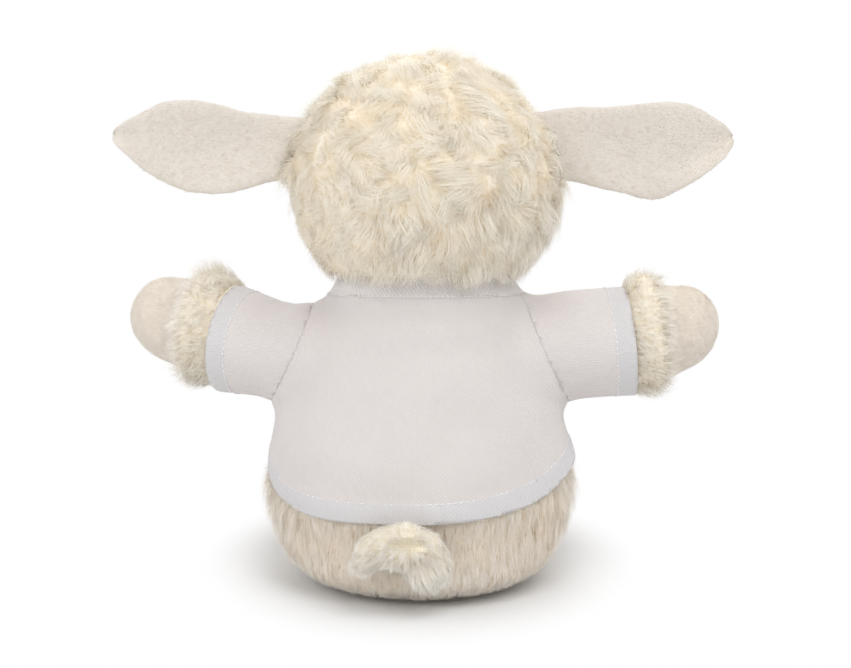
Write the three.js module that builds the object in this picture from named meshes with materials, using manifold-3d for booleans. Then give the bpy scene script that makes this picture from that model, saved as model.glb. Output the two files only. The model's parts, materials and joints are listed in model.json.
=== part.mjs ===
// A sitting plush lamb in a plain T-shirt: fur skins over fibre filling, a pellet bag in the seat,
// unstuffed ears, and limbs that are sewn on and flex at their seams.
// Millimetres, +Z up. The lamb faces -Y, its left is +X, and the origin is the middle of the flat
// patch of seat that it sits on.
import * as THREE from "three";
import { mergeVertices } from "three/addons/utils/BufferGeometryUtils.js";
import Module from "manifold-3d";

const wasm = await Module();
wasm.setup();

// Clearances
const SEAM_GAP = 0.35; // between pieces that are sewn or packed together
const JOINT_GAP = 0.45; // between a limb's round root and its seat
const SINK = 0.5; // depth of fur flattened by the toy's own weight

// Fabric thicknesses, each with its pile
const FUR = 8;
const SLEEVED_FUR = 3.2; // fur flattened under a sleeve or in a seam
const SHORT_PILE = 2.6;
const JERSEY = 1.2;

// Torso, a pear: radii across the body, at heights above the seat
const SEAT_RADIUS = 30;
const HIP_RADIUS = 50.5;
const HIP_HEIGHT = 12;
const BELLY_RADIUS = 56.5;
const BELLY_HEIGHT = 34;
const CHEST_RADIUS = 49;
const CHEST_HEIGHT = 63;
const SHOULDER_RADIUS = 41;
const SHOULDER_HEIGHT = 87;
const NECK_ROOT_RADIUS = 33;
const NECK_ROOT_DROP = 10; // below the neck's pivot
const TORSO_DEPTH = 0.9; // depth over width below the neck

// Neck
const NECK_HEIGHT = 108;
const NECK_SHIFT = -1.5; // the head is sewn on a little to the toy's right
const NECK_RADIUS = 30.6;
const NECK_BALL_RADIUS = 18;
const NECK_TOP_RISE = 8; // of the torso's flat top over the pivot
const NECKBAND_RISE = 7.6;
const NECKBAND_DROP = 0.4;

// Head
const HEAD_RADIUS = 49;
const HEAD_HALF_DEPTH = 47;
const HEAD_RISE = 35; // of its middle over the neck's pivot
const HEAD_RIM_RISE = 6;
const PLUG_RISE = 15; // the head's filling sits on the neck ball above this height
const LUMP_HEIGHT = 1.8; // of the fur's soft lumps, out of the head or into it
const LUMP_SPACING = 18;
const LUMP_FADE = [4, 32]; // rises over the neck's pivot between which the lumps grow

// Face and muzzle, of short pile: half width, half depth, half height
const FACE = { size: [31, 31, 33], back: 20, rise: 32 };
const MUZZLE = { size: [21, 22, 16], back: 41, rise: 22 };
const FACE_EDGE_BACK = 24; // the sewn edge of the face, ahead of the neck's axis

// Eyes, nose and mouth
const EYE_SPREAD = 15.5;
const EYE_RISE = 41;
const EYE_RADIUS = 4.6;
const EYE_HEIGHT = 3.4;
const SHANK_RADIUS = 1.5;
const SHANK_LENGTH = 7.6;
const WASHER_RADIUS = 6;
const WASHER_THICKNESS = 1.4;
const WASHER_SETBACK = 2; // from the curved inside of the face
const NOSE_SIZE = [6.6, 3.4, 4.6];
const NOSE_RISE = 27.5;
const STITCH_WIDTH = 1.3;
const STITCH_HEIGHT = 0.7;
const MOUTH_DROP = 5;
const MOUTH_RADIUS = 4.2;

// Ears: a leaf of two layers that turns in the head's side
const EAR_SPREAD = 44; // of the pivots from the head's middle
const EAR_RISE = 48; // over the neck's pivot
const EAR_LENGTH = 66.5;
const EAR_ROOT_RADIUS = 11.4;
const EAR_POCKET_RADIUS = 12.8;
const EAR_MOUTH = 17; // half height of the slit at the head's surface
const EAR_TIP_LIFT = 3.5;
const EAR_HALF_WIDTH = 16.4;
const EAR_TAPER = [
  // share of the length, share of the half width
  [0.17, 0.73],
  [0.36, 0.92],
  [0.56, 1],
  [0.7, 0.92],
  [0.8, 0.74],
  [0.89, 0.5],
  [0.96, 0.3],
  [1, 0.14],
];
const EAR_LAYER = 2.7;

// Arms, in their own frame: +X runs from the shoulder's pivot to the hand
const ARM_SPREAD = 37;
const ARM_HEIGHT = 84;
const ARM_ROOT_RADIUS = 17.2;
const ARM_WRIST_RADIUS = 15.2;
const SLEEVE_ROOT_RADIUS = 19;
const SLEEVE_HEM_RADIUS = 17.7;
const SLEEVE_LENGTH = 38.5;
const CUFF_RADIUS = 21.8;
const CUFF_LENGTH = 14;
const HAND_RADIUS = 16;
const HAND_LENGTH = 22;
const WRIST_BORE = 11.6;
const ARM_RAISE = 5;
const ARM_FORWARD = { left: 24, right: 5 };

// Legs, in the same frame as the arms
const HIP_SPREAD = 26;
const HIP_FORWARD = 33;
const LEG_HEIGHT = 19.5;
const LEG_ROOT_RADIUS = 17;
const LEG_LENGTH = 24;
const ANKLE_RADIUS = 20;
const ANKLE_LENGTH = 12;
const FOOT_RADIUS = 18;
const FOOT_LENGTH = 23;
const ANKLE_BORE = 12;
const LEG_SPLAY = 14;

// Tail, a flat puff that hangs from its seam
const TAIL_SIZE = [18, 9, 12];
const TAIL_SHIFT = 5.5;
const TAIL_HEIGHT = 19.5;
const TAIL_PROUD = 6; // of its middle behind the body's back
const TAIL_ROOT_RADIUS = 4.2;
const TAIL_ROOT_HEIGHT = 26;

// T-shirt
const HEM_HEIGHT = { back: 33.5, left: 31, right: 46, front: 41 };
const HEM_SLACK = 0.8; // depth of its soft waves
const HEM_WAVES = 6;
const DRAPE_HEIGHT = 35; // over which the waves fade
const SHIRT_EASE = 0.4;

// Pellet bag
const BAG_SIZE = [22, 18, 8];
const BAG_BACK = 9;

// How far the sewn joints flex, in degrees, where the seats have to leave room
const ARM_HUG = { left: [-25, 20], right: [-15, 30] };
const LEG_LIFT = [-8, 12];
const TAIL_LIFT = 35;

// Half the width of the blocks that cut
const BLOCK = 200;

// Facets
const TORSO_SIDES = 20;
const LIMB_SIDES = 12;
const BALL_DETAIL = 2;
const HEAD_SIDES = 40;
const HEAD_BANDS = 22;
const INNERMOST = 0.974; // of an icosphere's radius, at the middle of its faces

const FABRICS = {
  fur: { color: 0xf1e8d3, roughness: 0.95 },
  shortPile: { color: 0xeee5d6, roughness: 0.9 },
  jersey: { color: 0xf2efee, roughness: 0.85 },
  filling: { color: 0xfafafa, roughness: 1 },
  bag: { color: 0xd9d4c8, roughness: 0.9 },
  eye: { color: 0x17120f, roughness: 0.15 },
  washer: { color: 0xe8e8e6, roughness: 0.5 },
  thread: { color: 0xb08a7c, roughness: 0.6 },
};

const neck = new THREE.Vector3(NECK_SHIFT, 0, NECK_HEIGHT);
const head = new THREE.Vector3(NECK_SHIFT, 0, NECK_HEIGHT + HEAD_RISE);
const legPivotHeight = LEG_HEIGHT;
const radians = THREE.MathUtils.degToRad;

// A closed three.js geometry as a solid that can be cut and joined.
function toSolid(geometry) {
  const bare = geometry.index ? geometry.toNonIndexed() : geometry.clone();
  bare.deleteAttribute("normal");
  bare.deleteAttribute("uv");
  const merged = mergeVertices(bare, 1e-4);
  const mesh = new wasm.Mesh({
    numProp: 3,
    vertProperties: merged.attributes.position.array,
    triVerts: new Uint32Array(merged.index.array),
  });
  return new wasm.Manifold(mesh);
}

function toGeometry(solid) {
  const mesh = solid.getMesh();
  const geometry = new THREE.BufferGeometry()
    .setAttribute("position", new THREE.BufferAttribute(mesh.vertProperties, 3))
    .setIndex(new THREE.BufferAttribute(mesh.triVerts, 1));
  geometry.computeVertexNormals();
  return geometry;
}

// A point of a profile: distance from the axis, and place along it.
const at = (radius, along) => new THREE.Vector2(radius, along);

// Points of a profile on a round arc. Angles are in degrees from the axis's positive end.
function arc(radius, middle, from, to, steps) {
  return Array.from({ length: steps + 1 }, (_, i) => {
    const angle = radians(from + ((to - from) * i) / steps);
    return at(Math.max(0, radius * Math.sin(angle)), middle + radius * Math.cos(angle));
  });
}

const smooth = (points, count) => new THREE.SplineCurve(points).getSpacedPoints(count);

// A profile moved outwards along its own normals. Its ends stay on the axis.
function grow(profile, distance) {
  return profile.map((point, i) => {
    const before = profile[Math.max(i - 1, 0)];
    const after = profile[Math.min(i + 1, profile.length - 1)];
    const run = after.clone().sub(before).normalize();
    const ends = i === 0 || i === profile.length - 1;
    const outwards = ends ? at(0, Math.sign(i - 0.5)) : at(run.y, -run.x);
    return point.clone().addScaledVector(outwards, distance);
  });
}

// The solid of a profile turned about the Z axis. The profile runs upwards on the outside.
const turned = (profile, sides) => toSolid(new THREE.LatheGeometry(profile, sides).rotateX(Math.PI / 2));

// The same about the X axis, for a limb. The profile runs from the root to the tip.
const limbTurned = (profile) =>
  toSolid(new THREE.LatheGeometry(profile, LIMB_SIDES).rotateZ(-Math.PI / 2));

function ellipsoid(size, place, grown = 0) {
  const [x, y, z] = size.map((half) => half + grown);
  return toSolid(new THREE.IcosahedronGeometry(1, BALL_DETAIL).scale(x, y, z).translate(...place));
}

// A ball whose faces all lie at the radius or outside it, for cutting a seat.
function seatBall(radius, place) {
  const outer = radius / INNERMOST;
  return toSolid(new THREE.IcosahedronGeometry(outer, BALL_DETAIL).translate(...place));
}

const below = (height) =>
  toSolid(new THREE.BoxGeometry(2 * BLOCK, 2 * BLOCK, BLOCK).translate(0, 0, height - BLOCK / 2));

const join = (solids) => wasm.Manifold.union(solids);

// A limb's cylinder along +X from its pivot, for cutting the way it moves in.
function limbWay(radius, length) {
  const way = new THREE.CylinderGeometry(radius, radius, length, LIMB_SIDES);
  return way.rotateZ(-Math.PI / 2).translate(length / 2, 0, 0);
}

// Torso
const depthAt = (height) => {
  const top = NECK_HEIGHT - NECK_ROOT_DROP;
  return THREE.MathUtils.lerp(TORSO_DEPTH, 1, THREE.MathUtils.smoothstep(height, SHOULDER_HEIGHT, top));
};

function warp(geometry, move) {
  const points = geometry.attributes.position;
  const point = new THREE.Vector3();
  for (let i = 0; i < points.count; i++) {
    move(point.fromBufferAttribute(points, i));
    points.setXYZ(i, point.x, point.y, point.z);
  }
  return geometry;
}

// The share by which a point at this height belongs to the neck and follows its sideways shift.
const neckShare = (height) =>
  THREE.MathUtils.smoothstep(height, SHOULDER_HEIGHT, NECK_HEIGHT - NECK_ROOT_DROP);

function shapeTorso(point) {
  point.y *= depthAt(point.z);
  point.x += NECK_SHIFT * neckShare(point.z);
}

const torsoSide = smooth(
  [
    at(SEAT_RADIUS, 0),
    at(HIP_RADIUS, HIP_HEIGHT),
    at(BELLY_RADIUS, BELLY_HEIGHT),
    at(CHEST_RADIUS, CHEST_HEIGHT),
    at(SHOULDER_RADIUS, SHOULDER_HEIGHT),
    at(NECK_ROOT_RADIUS, NECK_HEIGHT - NECK_ROOT_DROP),
  ],
  7,
);
const neckTopAngle = THREE.MathUtils.radToDeg(Math.acos(NECK_TOP_RISE / NECK_RADIUS));
const neckArc = arc(NECK_RADIUS, NECK_HEIGHT, 103, neckTopAngle, 3);
const torsoProfile = [
  at(0, -SINK),
  at(SEAT_RADIUS * 0.6, -SINK * 0.8),
  ...torsoSide,
  ...neckArc,
  at(0, NECK_HEIGHT + NECK_TOP_RISE),
];

function torsoSolid(grown) {
  const lathe = new THREE.LatheGeometry(grow(torsoProfile, grown), TORSO_SIDES);
  return toSolid(warp(lathe.rotateX(Math.PI / 2), shapeTorso));
}

// The torso's radius at a height, read from its own profile.
function torsoRadius(height) {
  const rings = [...torsoSide, ...neckArc];
  const next = rings.findIndex((ring) => ring.y >= height);
  if (next < 1) return next === 0 ? rings[0].x : rings[rings.length - 1].x;
  const [low, high] = [rings[next - 1], rings[next]];
  return THREE.MathUtils.lerp(low.x, high.x, (height - low.y) / (high.y - low.y));
}

// Where each limb turns, and its placement: +X of its own frame is turned outwards and then raised.
function limbPlace(pivot, turn, raise) {
  const place = new THREE.Group();
  place.position.copy(pivot);
  place.rotation.set(0, -radians(raise), radians(turn), "ZYX");
  place.updateMatrixWorld();
  return place;
}

const armPivot = (side) => new THREE.Vector3(side * ARM_SPREAD, 0, ARM_HEIGHT);
const hipPivot = (side) => new THREE.Vector3(side * HIP_SPREAD, -HIP_FORWARD, legPivotHeight);
const SIDES = { left: 1, right: -1 };
const armTurn = (name) => (SIDES[name] > 0 ? -ARM_FORWARD.left : 180 + ARM_FORWARD.right);
const legTurn = (name) => (SIDES[name] > 0 ? -90 + LEG_SPLAY : -90 - LEG_SPLAY);
const armPlace = (name, hug = 0) =>
  limbPlace(armPivot(SIDES[name]), armTurn(name) - SIDES[name] * hug, ARM_RAISE);
const legPlace = (name, lift = 0) => limbPlace(hipPivot(SIDES[name]), legTurn(name), lift);

// The seat of a limb in the torso, with the room that the limb sweeps from one limit to the other.
function limbSeat(placeFor, name, radius, length, [least, most]) {
  const pivot = placeFor(name).position;
  const ways = [least, (least + most) / 2, most].map((flex) =>
    toSolid(limbWay(radius, length).applyMatrix4(placeFor(name, flex).matrixWorld)),
  );
  return join([seatBall(radius, pivot.toArray()), ...ways]);
}

const armSeats = Object.keys(SIDES).map((name) =>
  limbSeat(armPlace, name, SLEEVE_ROOT_RADIUS + JOINT_GAP, SLEEVE_LENGTH * 0.8, ARM_HUG[name]),
);
const legSeats = Object.keys(SIDES).map((name) =>
  limbSeat(legPlace, name, LEG_ROOT_RADIUS + JOINT_GAP, LEG_LENGTH, LEG_LIFT),
);
const neckSeat = seatBall(NECK_BALL_RADIUS + JOINT_GAP, neck.toArray());
const tailBack = torsoRadius(TAIL_ROOT_HEIGHT) * TORSO_DEPTH;
const tailPivot = new THREE.Vector3(TAIL_SHIFT, tailBack, TAIL_ROOT_HEIGHT);
const tailSeat = seatBall(TAIL_ROOT_RADIUS + JOINT_GAP, tailPivot.toArray());
const torsoCuts = join([...armSeats, ...legSeats, neckSeat, tailSeat]);

const torsoOuter = torsoSolid(0).subtract(below(0));
const bodySkin = torsoOuter.subtract(torsoSolid(-FUR)).subtract(torsoCuts);

const bagHeight = FUR + SEAM_GAP + BAG_SIZE[2];
const bagPlace = [0, BAG_BACK, bagHeight];
const pelletBag = ellipsoid(BAG_SIZE, bagPlace);
const bagRoom = join([
  ellipsoid(BAG_SIZE, bagPlace, SEAM_GAP),
  toSolid(
    new THREE.CylinderGeometry(BAG_SIZE[1], BAG_SIZE[1], bagHeight, LIMB_SIDES)
      .rotateX(Math.PI / 2)
      .translate(0, BAG_BACK, bagHeight / 2),
  ),
]);
const bodyFilling = torsoSolid(-FUR - SEAM_GAP).subtract(torsoCuts).subtract(bagRoom);

// T-shirt: a shell over the torso, cut out for the sleeves, in a front and a back panel
function hemAt(angle) {
  const across = Math.cos(angle);
  const back = Math.sin(angle);
  const side = across > 0 ? HEM_HEIGHT.left : HEM_HEIGHT.right;
  const end = back > 0 ? HEM_HEIGHT.back : HEM_HEIGHT.front;
  const share = across ** 4;
  return side * share + end * (1 - share);
}

// Moves a point of the shirt off the body in soft waves that grow towards the hem.
function drape(point) {
  const angle = Math.atan2(point.y, point.x);
  const hem = hemAt(angle);
  const fall = 1 - THREE.MathUtils.smoothstep(point.z, hem, hem + DRAPE_HEIGHT);
  const slack = HEM_SLACK * (1 + Math.cos(HEM_WAVES * angle)) * fall;
  const scale = 1 + slack / Math.max(SEAT_RADIUS, Math.hypot(point.x, point.y));
  point.x *= scale;
  point.y *= scale;
  shapeTorso(point);
}

const shirtSolid = (off) => {
  const lathe = new THREE.LatheGeometry(grow(torsoProfile, off), TORSO_SIDES);
  return toSolid(warp(lathe.rotateX(Math.PI / 2), drape));
};

// Everything below the hem's line: a drum whose top follows the hem out to its rim.
function belowHem() {
  const rim = 2 * BELLY_RADIUS;
  const drum = [at(0, -FUR), at(rim, -FUR), at(rim, 0), at(FUR, 0), at(0, 0)];
  const lathe = new THREE.LatheGeometry(drum, 2 * TORSO_SIDES).rotateX(Math.PI / 2);
  return toSolid(
    warp(lathe, (point) => {
      const onTop = point.z > -FUR / 2;
      const middle = Math.hypot(point.x, point.y) < FUR / 2;
      if (onTop) point.z = middle ? HEM_HEIGHT.back : hemAt(Math.atan2(point.y, point.x));
    }),
  );
}

const shirtTop = NECK_HEIGHT - NECKBAND_DROP - SEAM_GAP;
const shirtShell = shirtSolid(SHIRT_EASE + JERSEY)
  .subtract(join([shirtSolid(SHIRT_EASE), ...armSeats, belowHem()]))
  .intersect(below(shirtTop));
const halfSpace = (side) =>
  toSolid(
    new THREE.BoxGeometry(2 * BLOCK, BLOCK, 2 * BLOCK).translate(0, (side * (BLOCK + SEAM_GAP)) / 2, BLOCK / 2),
  );
const shirtBack = shirtShell.intersect(halfSpace(1));
const shirtFront = shirtShell.intersect(halfSpace(-1));

const bandInner = NECK_RADIUS + SHIRT_EASE;
const bandOuter = bandInner + JERSEY;
const bandAngle = (rise) => THREE.MathUtils.radToDeg(Math.acos(rise / bandOuter));
const neckband = turned(
  [
    ...arc(bandOuter, 0, bandAngle(-NECKBAND_DROP), bandAngle(NECKBAND_RISE), 3),
    ...arc(bandInner, 0, bandAngle(NECKBAND_RISE), bandAngle(-NECKBAND_DROP), 3),
    arc(bandOuter, 0, bandAngle(-NECKBAND_DROP), bandAngle(NECKBAND_RISE), 3)[0],
  ],
  TORSO_SIDES,
);
const neckFilling = toSolid(new THREE.IcosahedronGeometry(NECK_BALL_RADIUS, BALL_DETAIL));

// Head, in the torso's frame: a ball hollowed from below for the neck, with the face let in
const headSize = [HEAD_RADIUS, HEAD_HALF_DEPTH, HEAD_RADIUS];
const headSphere = (grown, sides, bands) =>
  new THREE.SphereGeometry(1, sides, bands)
    .rotateX(Math.PI / 2)
    .scale(...headSize.map((half) => half + grown))
    .translate(...head.toArray());
const headBall = (grown) => toSolid(headSphere(grown, TORSO_SIDES, LIMB_SIDES));

// The fur's soft lumps at a point, from about -1 to 1
function tousle(point) {
  const { x, y, z } = point.clone().multiplyScalar((2 * Math.PI) / LUMP_SPACING);
  const slanted = Math.sin(x + 0.6 * y + 0.4) * Math.sin(0.9 * z - 0.3 * x);
  const crossed = Math.sin(0.8 * y - 0.5 * z + 1.1) * Math.cos(0.7 * x + z);
  return 0.7 * (slanted + crossed);
}

// Moves a point of the head's outside out of the head, or into it, by the lumps. They fade round the
// neck and the face.
function shapeHead(point) {
  const [low, high] = LUMP_FADE;
  const share =
    THREE.MathUtils.smoothstep(point.z - NECK_HEIGHT, low, high) *
    THREE.MathUtils.smoothstep(point.y, -2 * FACE_EDGE_BACK, -FACE_EDGE_BACK);
  const outwards = point.clone().sub(head).normalize();
  point.addScaledVector(outwards, LUMP_HEIGHT * share * tousle(point));
}
const onHead = ({ back, rise }) => [NECK_SHIFT, -back, NECK_HEIGHT + rise];
const faceSolid = (grown) =>
  join([ellipsoid(FACE.size, onHead(FACE), grown), ellipsoid(MUZZLE.size, onHead(MUZZLE), grown)]);

const scoop = join([
  neckSeat,
  seatBall(bandOuter + JOINT_GAP, neck.toArray()).intersect(below(NECK_HEIGHT + PLUG_RISE)),
  below(NECK_HEIGHT + HEAD_RIM_RISE),
]);

// The slit that an ear's root turns in, and its mouth in the fur, which the ear flops up and down in.
function earPocket(name) {
  const width = 2 * (EAR_LAYER + SEAM_GAP + JOINT_GAP);
  const x = NECK_SHIFT + SIDES[name] * EAR_SPREAD;
  const z = NECK_HEIGHT + EAR_RISE;
  const slit = new THREE.CylinderGeometry(EAR_POCKET_RADIUS, EAR_POCKET_RADIUS, width, TORSO_SIDES);
  const mouth = new THREE.BoxGeometry(EAR_POCKET_RADIUS, width, 2 * EAR_MOUTH);
  mouth.translate((SIDES[name] * EAR_POCKET_RADIUS) / 2, 0, 0);
  return join([toSolid(slit.translate(x, 0, z)), toSolid(mouth.translate(x, 0, z))]);
}

const earPockets = join(Object.keys(SIDES).map(earPocket));
const faceFront = toSolid(
  new THREE.BoxGeometry(BLOCK, BLOCK, BLOCK).translate(
    0,
    -BLOCK / 2 - FACE_EDGE_BACK,
    NECK_HEIGHT + HEAD_RISE,
  ),
);
const faceRoomFront = faceFront.translate([0, SEAM_GAP, 0]);
const faceShell = faceSolid(0).subtract(faceSolid(-SHORT_PILE)).intersect(faceFront);
const faceRoom = faceSolid(SEAM_GAP).intersect(faceRoomFront);
const headSkin = toSolid(warp(headSphere(0, HEAD_SIDES, HEAD_BANDS), shapeHead))
  .subtract(headBall(-FUR))
  .subtract(join([faceRoom, scoop, earPockets]));

// Where an eye's middle sits on the face, and the direction that it looks in
function eyeSeat(side) {
  const [width, depth, height] = FACE.size;
  const [across, up] = [side * EYE_SPREAD, EYE_RISE - FACE.rise];
  const forward = depth * Math.sqrt(1 - (across / width) ** 2 - (up / height) ** 2);
  const normal = new THREE.Vector3(across / width ** 2, -forward / depth ** 2, up / height ** 2);
  const place = new THREE.Group();
  place.position.set(NECK_SHIFT + across, -FACE.back - forward, NECK_HEIGHT + EYE_RISE);
  place.quaternion.setFromUnitVectors(new THREE.Vector3(0, 0, 1), normal.normalize());
  place.updateMatrixWorld();
  return place;
}

// A safety eye, looking along +Z from the face's surface, with its shank through the fabric
const eyeSolid = turned(
  [
    at(0, -SHANK_LENGTH),
    at(SHANK_RADIUS, -SHANK_LENGTH),
    at(SHANK_RADIUS, SEAM_GAP),
    at(EYE_RADIUS, SEAM_GAP),
    at(EYE_RADIUS * 0.94, EYE_HEIGHT * 0.45),
    at(EYE_RADIUS * 0.6, EYE_HEIGHT * 0.87),
    at(0, EYE_HEIGHT),
  ],
  LIMB_SIDES,
);
const washerBack = -SHORT_PILE - WASHER_SETBACK;
const washerBore = SHANK_RADIUS + SEAM_GAP;
const washerSolid = turned(
  [
    at(washerBore, washerBack - WASHER_THICKNESS),
    at(WASHER_RADIUS, washerBack - WASHER_THICKNESS),
    at(WASHER_RADIUS, washerBack),
    at(washerBore, washerBack),
    at(washerBore, washerBack - WASHER_THICKNESS),
  ],
  LIMB_SIDES,
);
const shankRoom = new THREE.CylinderGeometry(washerBore, washerBore, 3 * SHORT_PILE, LIMB_SIDES);
const washerRoomLength = SHANK_LENGTH + SEAM_GAP;
const washerRoomRadius = WASHER_RADIUS + SEAM_GAP;
const washerRoom = new THREE.CylinderGeometry(washerRoomRadius, washerRoomRadius, washerRoomLength, LIMB_SIDES);
const eyeCuts = Object.values(SIDES).map((side) => {
  const place = eyeSeat(side).matrixWorld;
  return {
    skin: toSolid(shankRoom.clone().rotateX(Math.PI / 2).applyMatrix4(place)),
    filling: toSolid(
      washerRoom.clone().rotateX(Math.PI / 2).translate(0, 0, -washerRoomLength / 2).applyMatrix4(place),
    ),
  };
});
const faceSkin = faceShell.subtract(join([scoop, ...eyeCuts.map((cut) => cut.skin)]));
const faceCavity = faceSolid(-SHORT_PILE - SEAM_GAP);
const headFilling = headBall(-FUR - SEAM_GAP)
  .subtract(faceRoom.subtract(faceCavity))
  .add(faceCavity.intersect(join([faceRoomFront, headBall(-FUR - SEAM_GAP)])))
  .subtract(join([scoop, earPockets, ...eyeCuts.map((cut) => cut.filling)]));

const muzzleTip = MUZZLE.back + MUZZLE.size[1];
const noseHeight = NECK_HEIGHT + NOSE_RISE;
const nose = ellipsoid(NOSE_SIZE, [NECK_SHIFT, -muzzleTip + NOSE_SIZE[1] * 0.4, noseHeight]).subtract(
  faceSolid(SEAM_GAP),
);

// A flat band that follows the mouth's curve on one side, seen from the front, as deep as the muzzle.
function mouthCurve(side, middle) {
  const half = STITCH_WIDTH / 2;
  const shape = new THREE.Shape();
  const [from, to] = side > 0 ? [Math.PI, 1.75 * Math.PI] : [0, -0.75 * Math.PI];
  shape.absarc(0, 0, MOUTH_RADIUS + half, from, to, side < 0);
  shape.absarc(0, 0, MOUTH_RADIUS - half, to, from, side > 0);
  const band = new THREE.ExtrudeGeometry(shape, { depth: muzzleTip, bevelEnabled: false, curveSegments: 8 });
  const place = [NECK_SHIFT + side * MOUTH_RADIUS, -muzzleTip / 2, middle];
  return toSolid(band.rotateX(Math.PI / 2).translate(...place));
}

// The mouth's stitches: a line down from the nose that parts into two curves
const mouthTop = noseHeight - NOSE_SIZE[2] - SEAM_GAP;
const mouthMiddle = mouthTop - MOUTH_DROP;
const mouthLine = toSolid(
  new THREE.BoxGeometry(STITCH_WIDTH, muzzleTip, MOUTH_DROP + STITCH_WIDTH / 2).translate(
    NECK_SHIFT,
    -muzzleTip,
    mouthTop - (MOUTH_DROP + STITCH_WIDTH / 2) / 2,
  ),
);
const mouthStitch = faceSolid(SEAM_GAP + STITCH_HEIGHT)
  .subtract(faceSolid(SEAM_GAP))
  .intersect(join([mouthLine, mouthCurve(1, mouthMiddle), mouthCurve(-1, mouthMiddle)]));

// Ear: stations along the leaf, each a half lens with its flat side on the ear's mid-plane
const earLeaf = EAR_TAPER.map(([along, half]) => at(EAR_LENGTH * along, EAR_HALF_WIDTH * half));
const earRoot = Array.from({ length: 3 }, (_, i) => {
  const angle = radians(10 + i * 28);
  return at(-EAR_ROOT_RADIUS * Math.cos(angle), EAR_ROOT_RADIUS * Math.sin(angle));
});
const earStations = [...earRoot, at(0, EAR_ROOT_RADIUS), ...earLeaf];

// One layer of an ear. Its outer face is on the given side of the mid-plane.
function earLayer(facing) {
  const across = Array.from({ length: 7 }, (_, i) => -1 + i / 3);
  const rings = earStations.map(({ x: along, y: half }) => {
    const lift = EAR_TIP_LIFT * Math.max(0, along / EAR_LENGTH) ** 2;
    const domed = across.map((a) => [
      along,
      facing * (SEAM_GAP / 2 + EAR_LAYER * Math.max(0.12, 1 - a ** 4)),
      lift + half * a,
    ]);
    const flat = [
      [along, (facing * SEAM_GAP) / 2, lift + half],
      [along, (facing * SEAM_GAP) / 2, lift - half],
    ];
    return [...domed, ...flat];
  });
  const around = rings[0].length;
  const index = [];
  for (let ring = 0; ring + 1 < rings.length; ring++)
    for (let i = 0; i < around; i++) {
      const next = (i + 1) % around;
      const [a, b] = [ring * around + i, ring * around + next];
      index.push(a, b, b + around, a, b + around, a + around);
    }
  for (let i = 1; i + 1 < around; i++) {
    const last = (rings.length - 1) * around;
    index.push(0, i + 1, i, last, last + i, last + i + 1);
  }
  if (facing < 0) index.reverse();
  return new THREE.BufferGeometry()
    .setAttribute("position", new THREE.Float32BufferAttribute(rings.flat(2), 3))
    .setIndex(index);
}

// A stuffed limb: fur skin with a shaggy end, a short-pile hand or foot, and one filling in both
function limb({ root, wrist, length, shag, shagLength, end, endLength, bore }) {
  const wall = root - SLEEVED_FUR;
  const cuffEnd = length + shagLength;
  const tip = cuffEnd + endLength;
  const outer = [
    ...arc(root, 0, 180, 70, 5),
    at(wrist, length - SEAM_GAP),
    at(shag * 0.93, length + 1.5),
    at(shag, length + shagLength * 0.45),
    at(shag * 0.86, cuffEnd - 2),
    at(bore, cuffEnd),
  ];
  const inner = [at(bore, length), ...arc(wall, 0, 60, 180, 4)];
  const handOuter = smooth(
    [at(end * 0.86, cuffEnd), at(end, cuffEnd + endLength * 0.42), at(end * 0.72, tip - 3.5), at(0, tip)],
    6,
  );
  handOuter[0].y += SEAM_GAP;
  handOuter[handOuter.length - 1].x = 0;
  const cavity = handOuter.slice(0, -1).map((p) => at(Math.max(bore * 0.3, p.x - SHORT_PILE), p.y));
  cavity[0].x = bore;
  const cavityTip = at(0, tip - SHORT_PILE);
  cavity[cavity.length - 1].y -= SHORT_PILE * 0.6;
  const filling = [
    ...arc(wall - SEAM_GAP, 0, 180, 60, 4),
    at(bore - SEAM_GAP, length),
    ...cavity.map((p) => at(p.x - SEAM_GAP, p.y - SEAM_GAP)),
    at(0, cavityTip.y - 2 * SEAM_GAP),
  ];
  return {
    skin: limbTurned([...outer, ...inner]),
    end: limbTurned([cavity[0], ...handOuter, cavityTip, ...[...cavity].reverse()]),
    filling: limbTurned(filling),
  };
}

const arm = limb({
  root: ARM_ROOT_RADIUS,
  wrist: ARM_WRIST_RADIUS,
  length: SLEEVE_LENGTH,
  shag: CUFF_RADIUS,
  shagLength: CUFF_LENGTH,
  end: HAND_RADIUS,
  endLength: HAND_LENGTH,
  bore: WRIST_BORE,
});
const leg = limb({
  root: LEG_ROOT_RADIUS,
  wrist: LEG_ROOT_RADIUS,
  length: LEG_LENGTH,
  shag: ANKLE_RADIUS,
  shagLength: ANKLE_LENGTH,
  end: FOOT_RADIUS,
  endLength: FOOT_LENGTH,
  bore: ANKLE_BORE,
});
const floorUnderLeg = below(-legPivotHeight);
leg.skin = leg.skin.subtract(floorUnderLeg);
leg.end = leg.end.subtract(floorUnderLeg);

const sleeveInner = SLEEVE_ROOT_RADIUS - JERSEY;
const sleeve = limbTurned([
  ...arc(SLEEVE_ROOT_RADIUS, 0, 118, 75, 4),
  at(SLEEVE_HEM_RADIUS + 0.4, SLEEVE_LENGTH * 0.6),
  at(SLEEVE_HEM_RADIUS, SLEEVE_LENGTH - SEAM_GAP * 2),
  at(SLEEVE_HEM_RADIUS - JERSEY, SLEEVE_LENGTH - SEAM_GAP * 2),
  at(SLEEVE_HEM_RADIUS + 0.4 - JERSEY, SLEEVE_LENGTH * 0.6),
  ...arc(sleeveInner, 0, 75, 118, 4),
  arc(SLEEVE_ROOT_RADIUS, 0, 118, 75, 4)[0],
]);

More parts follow.
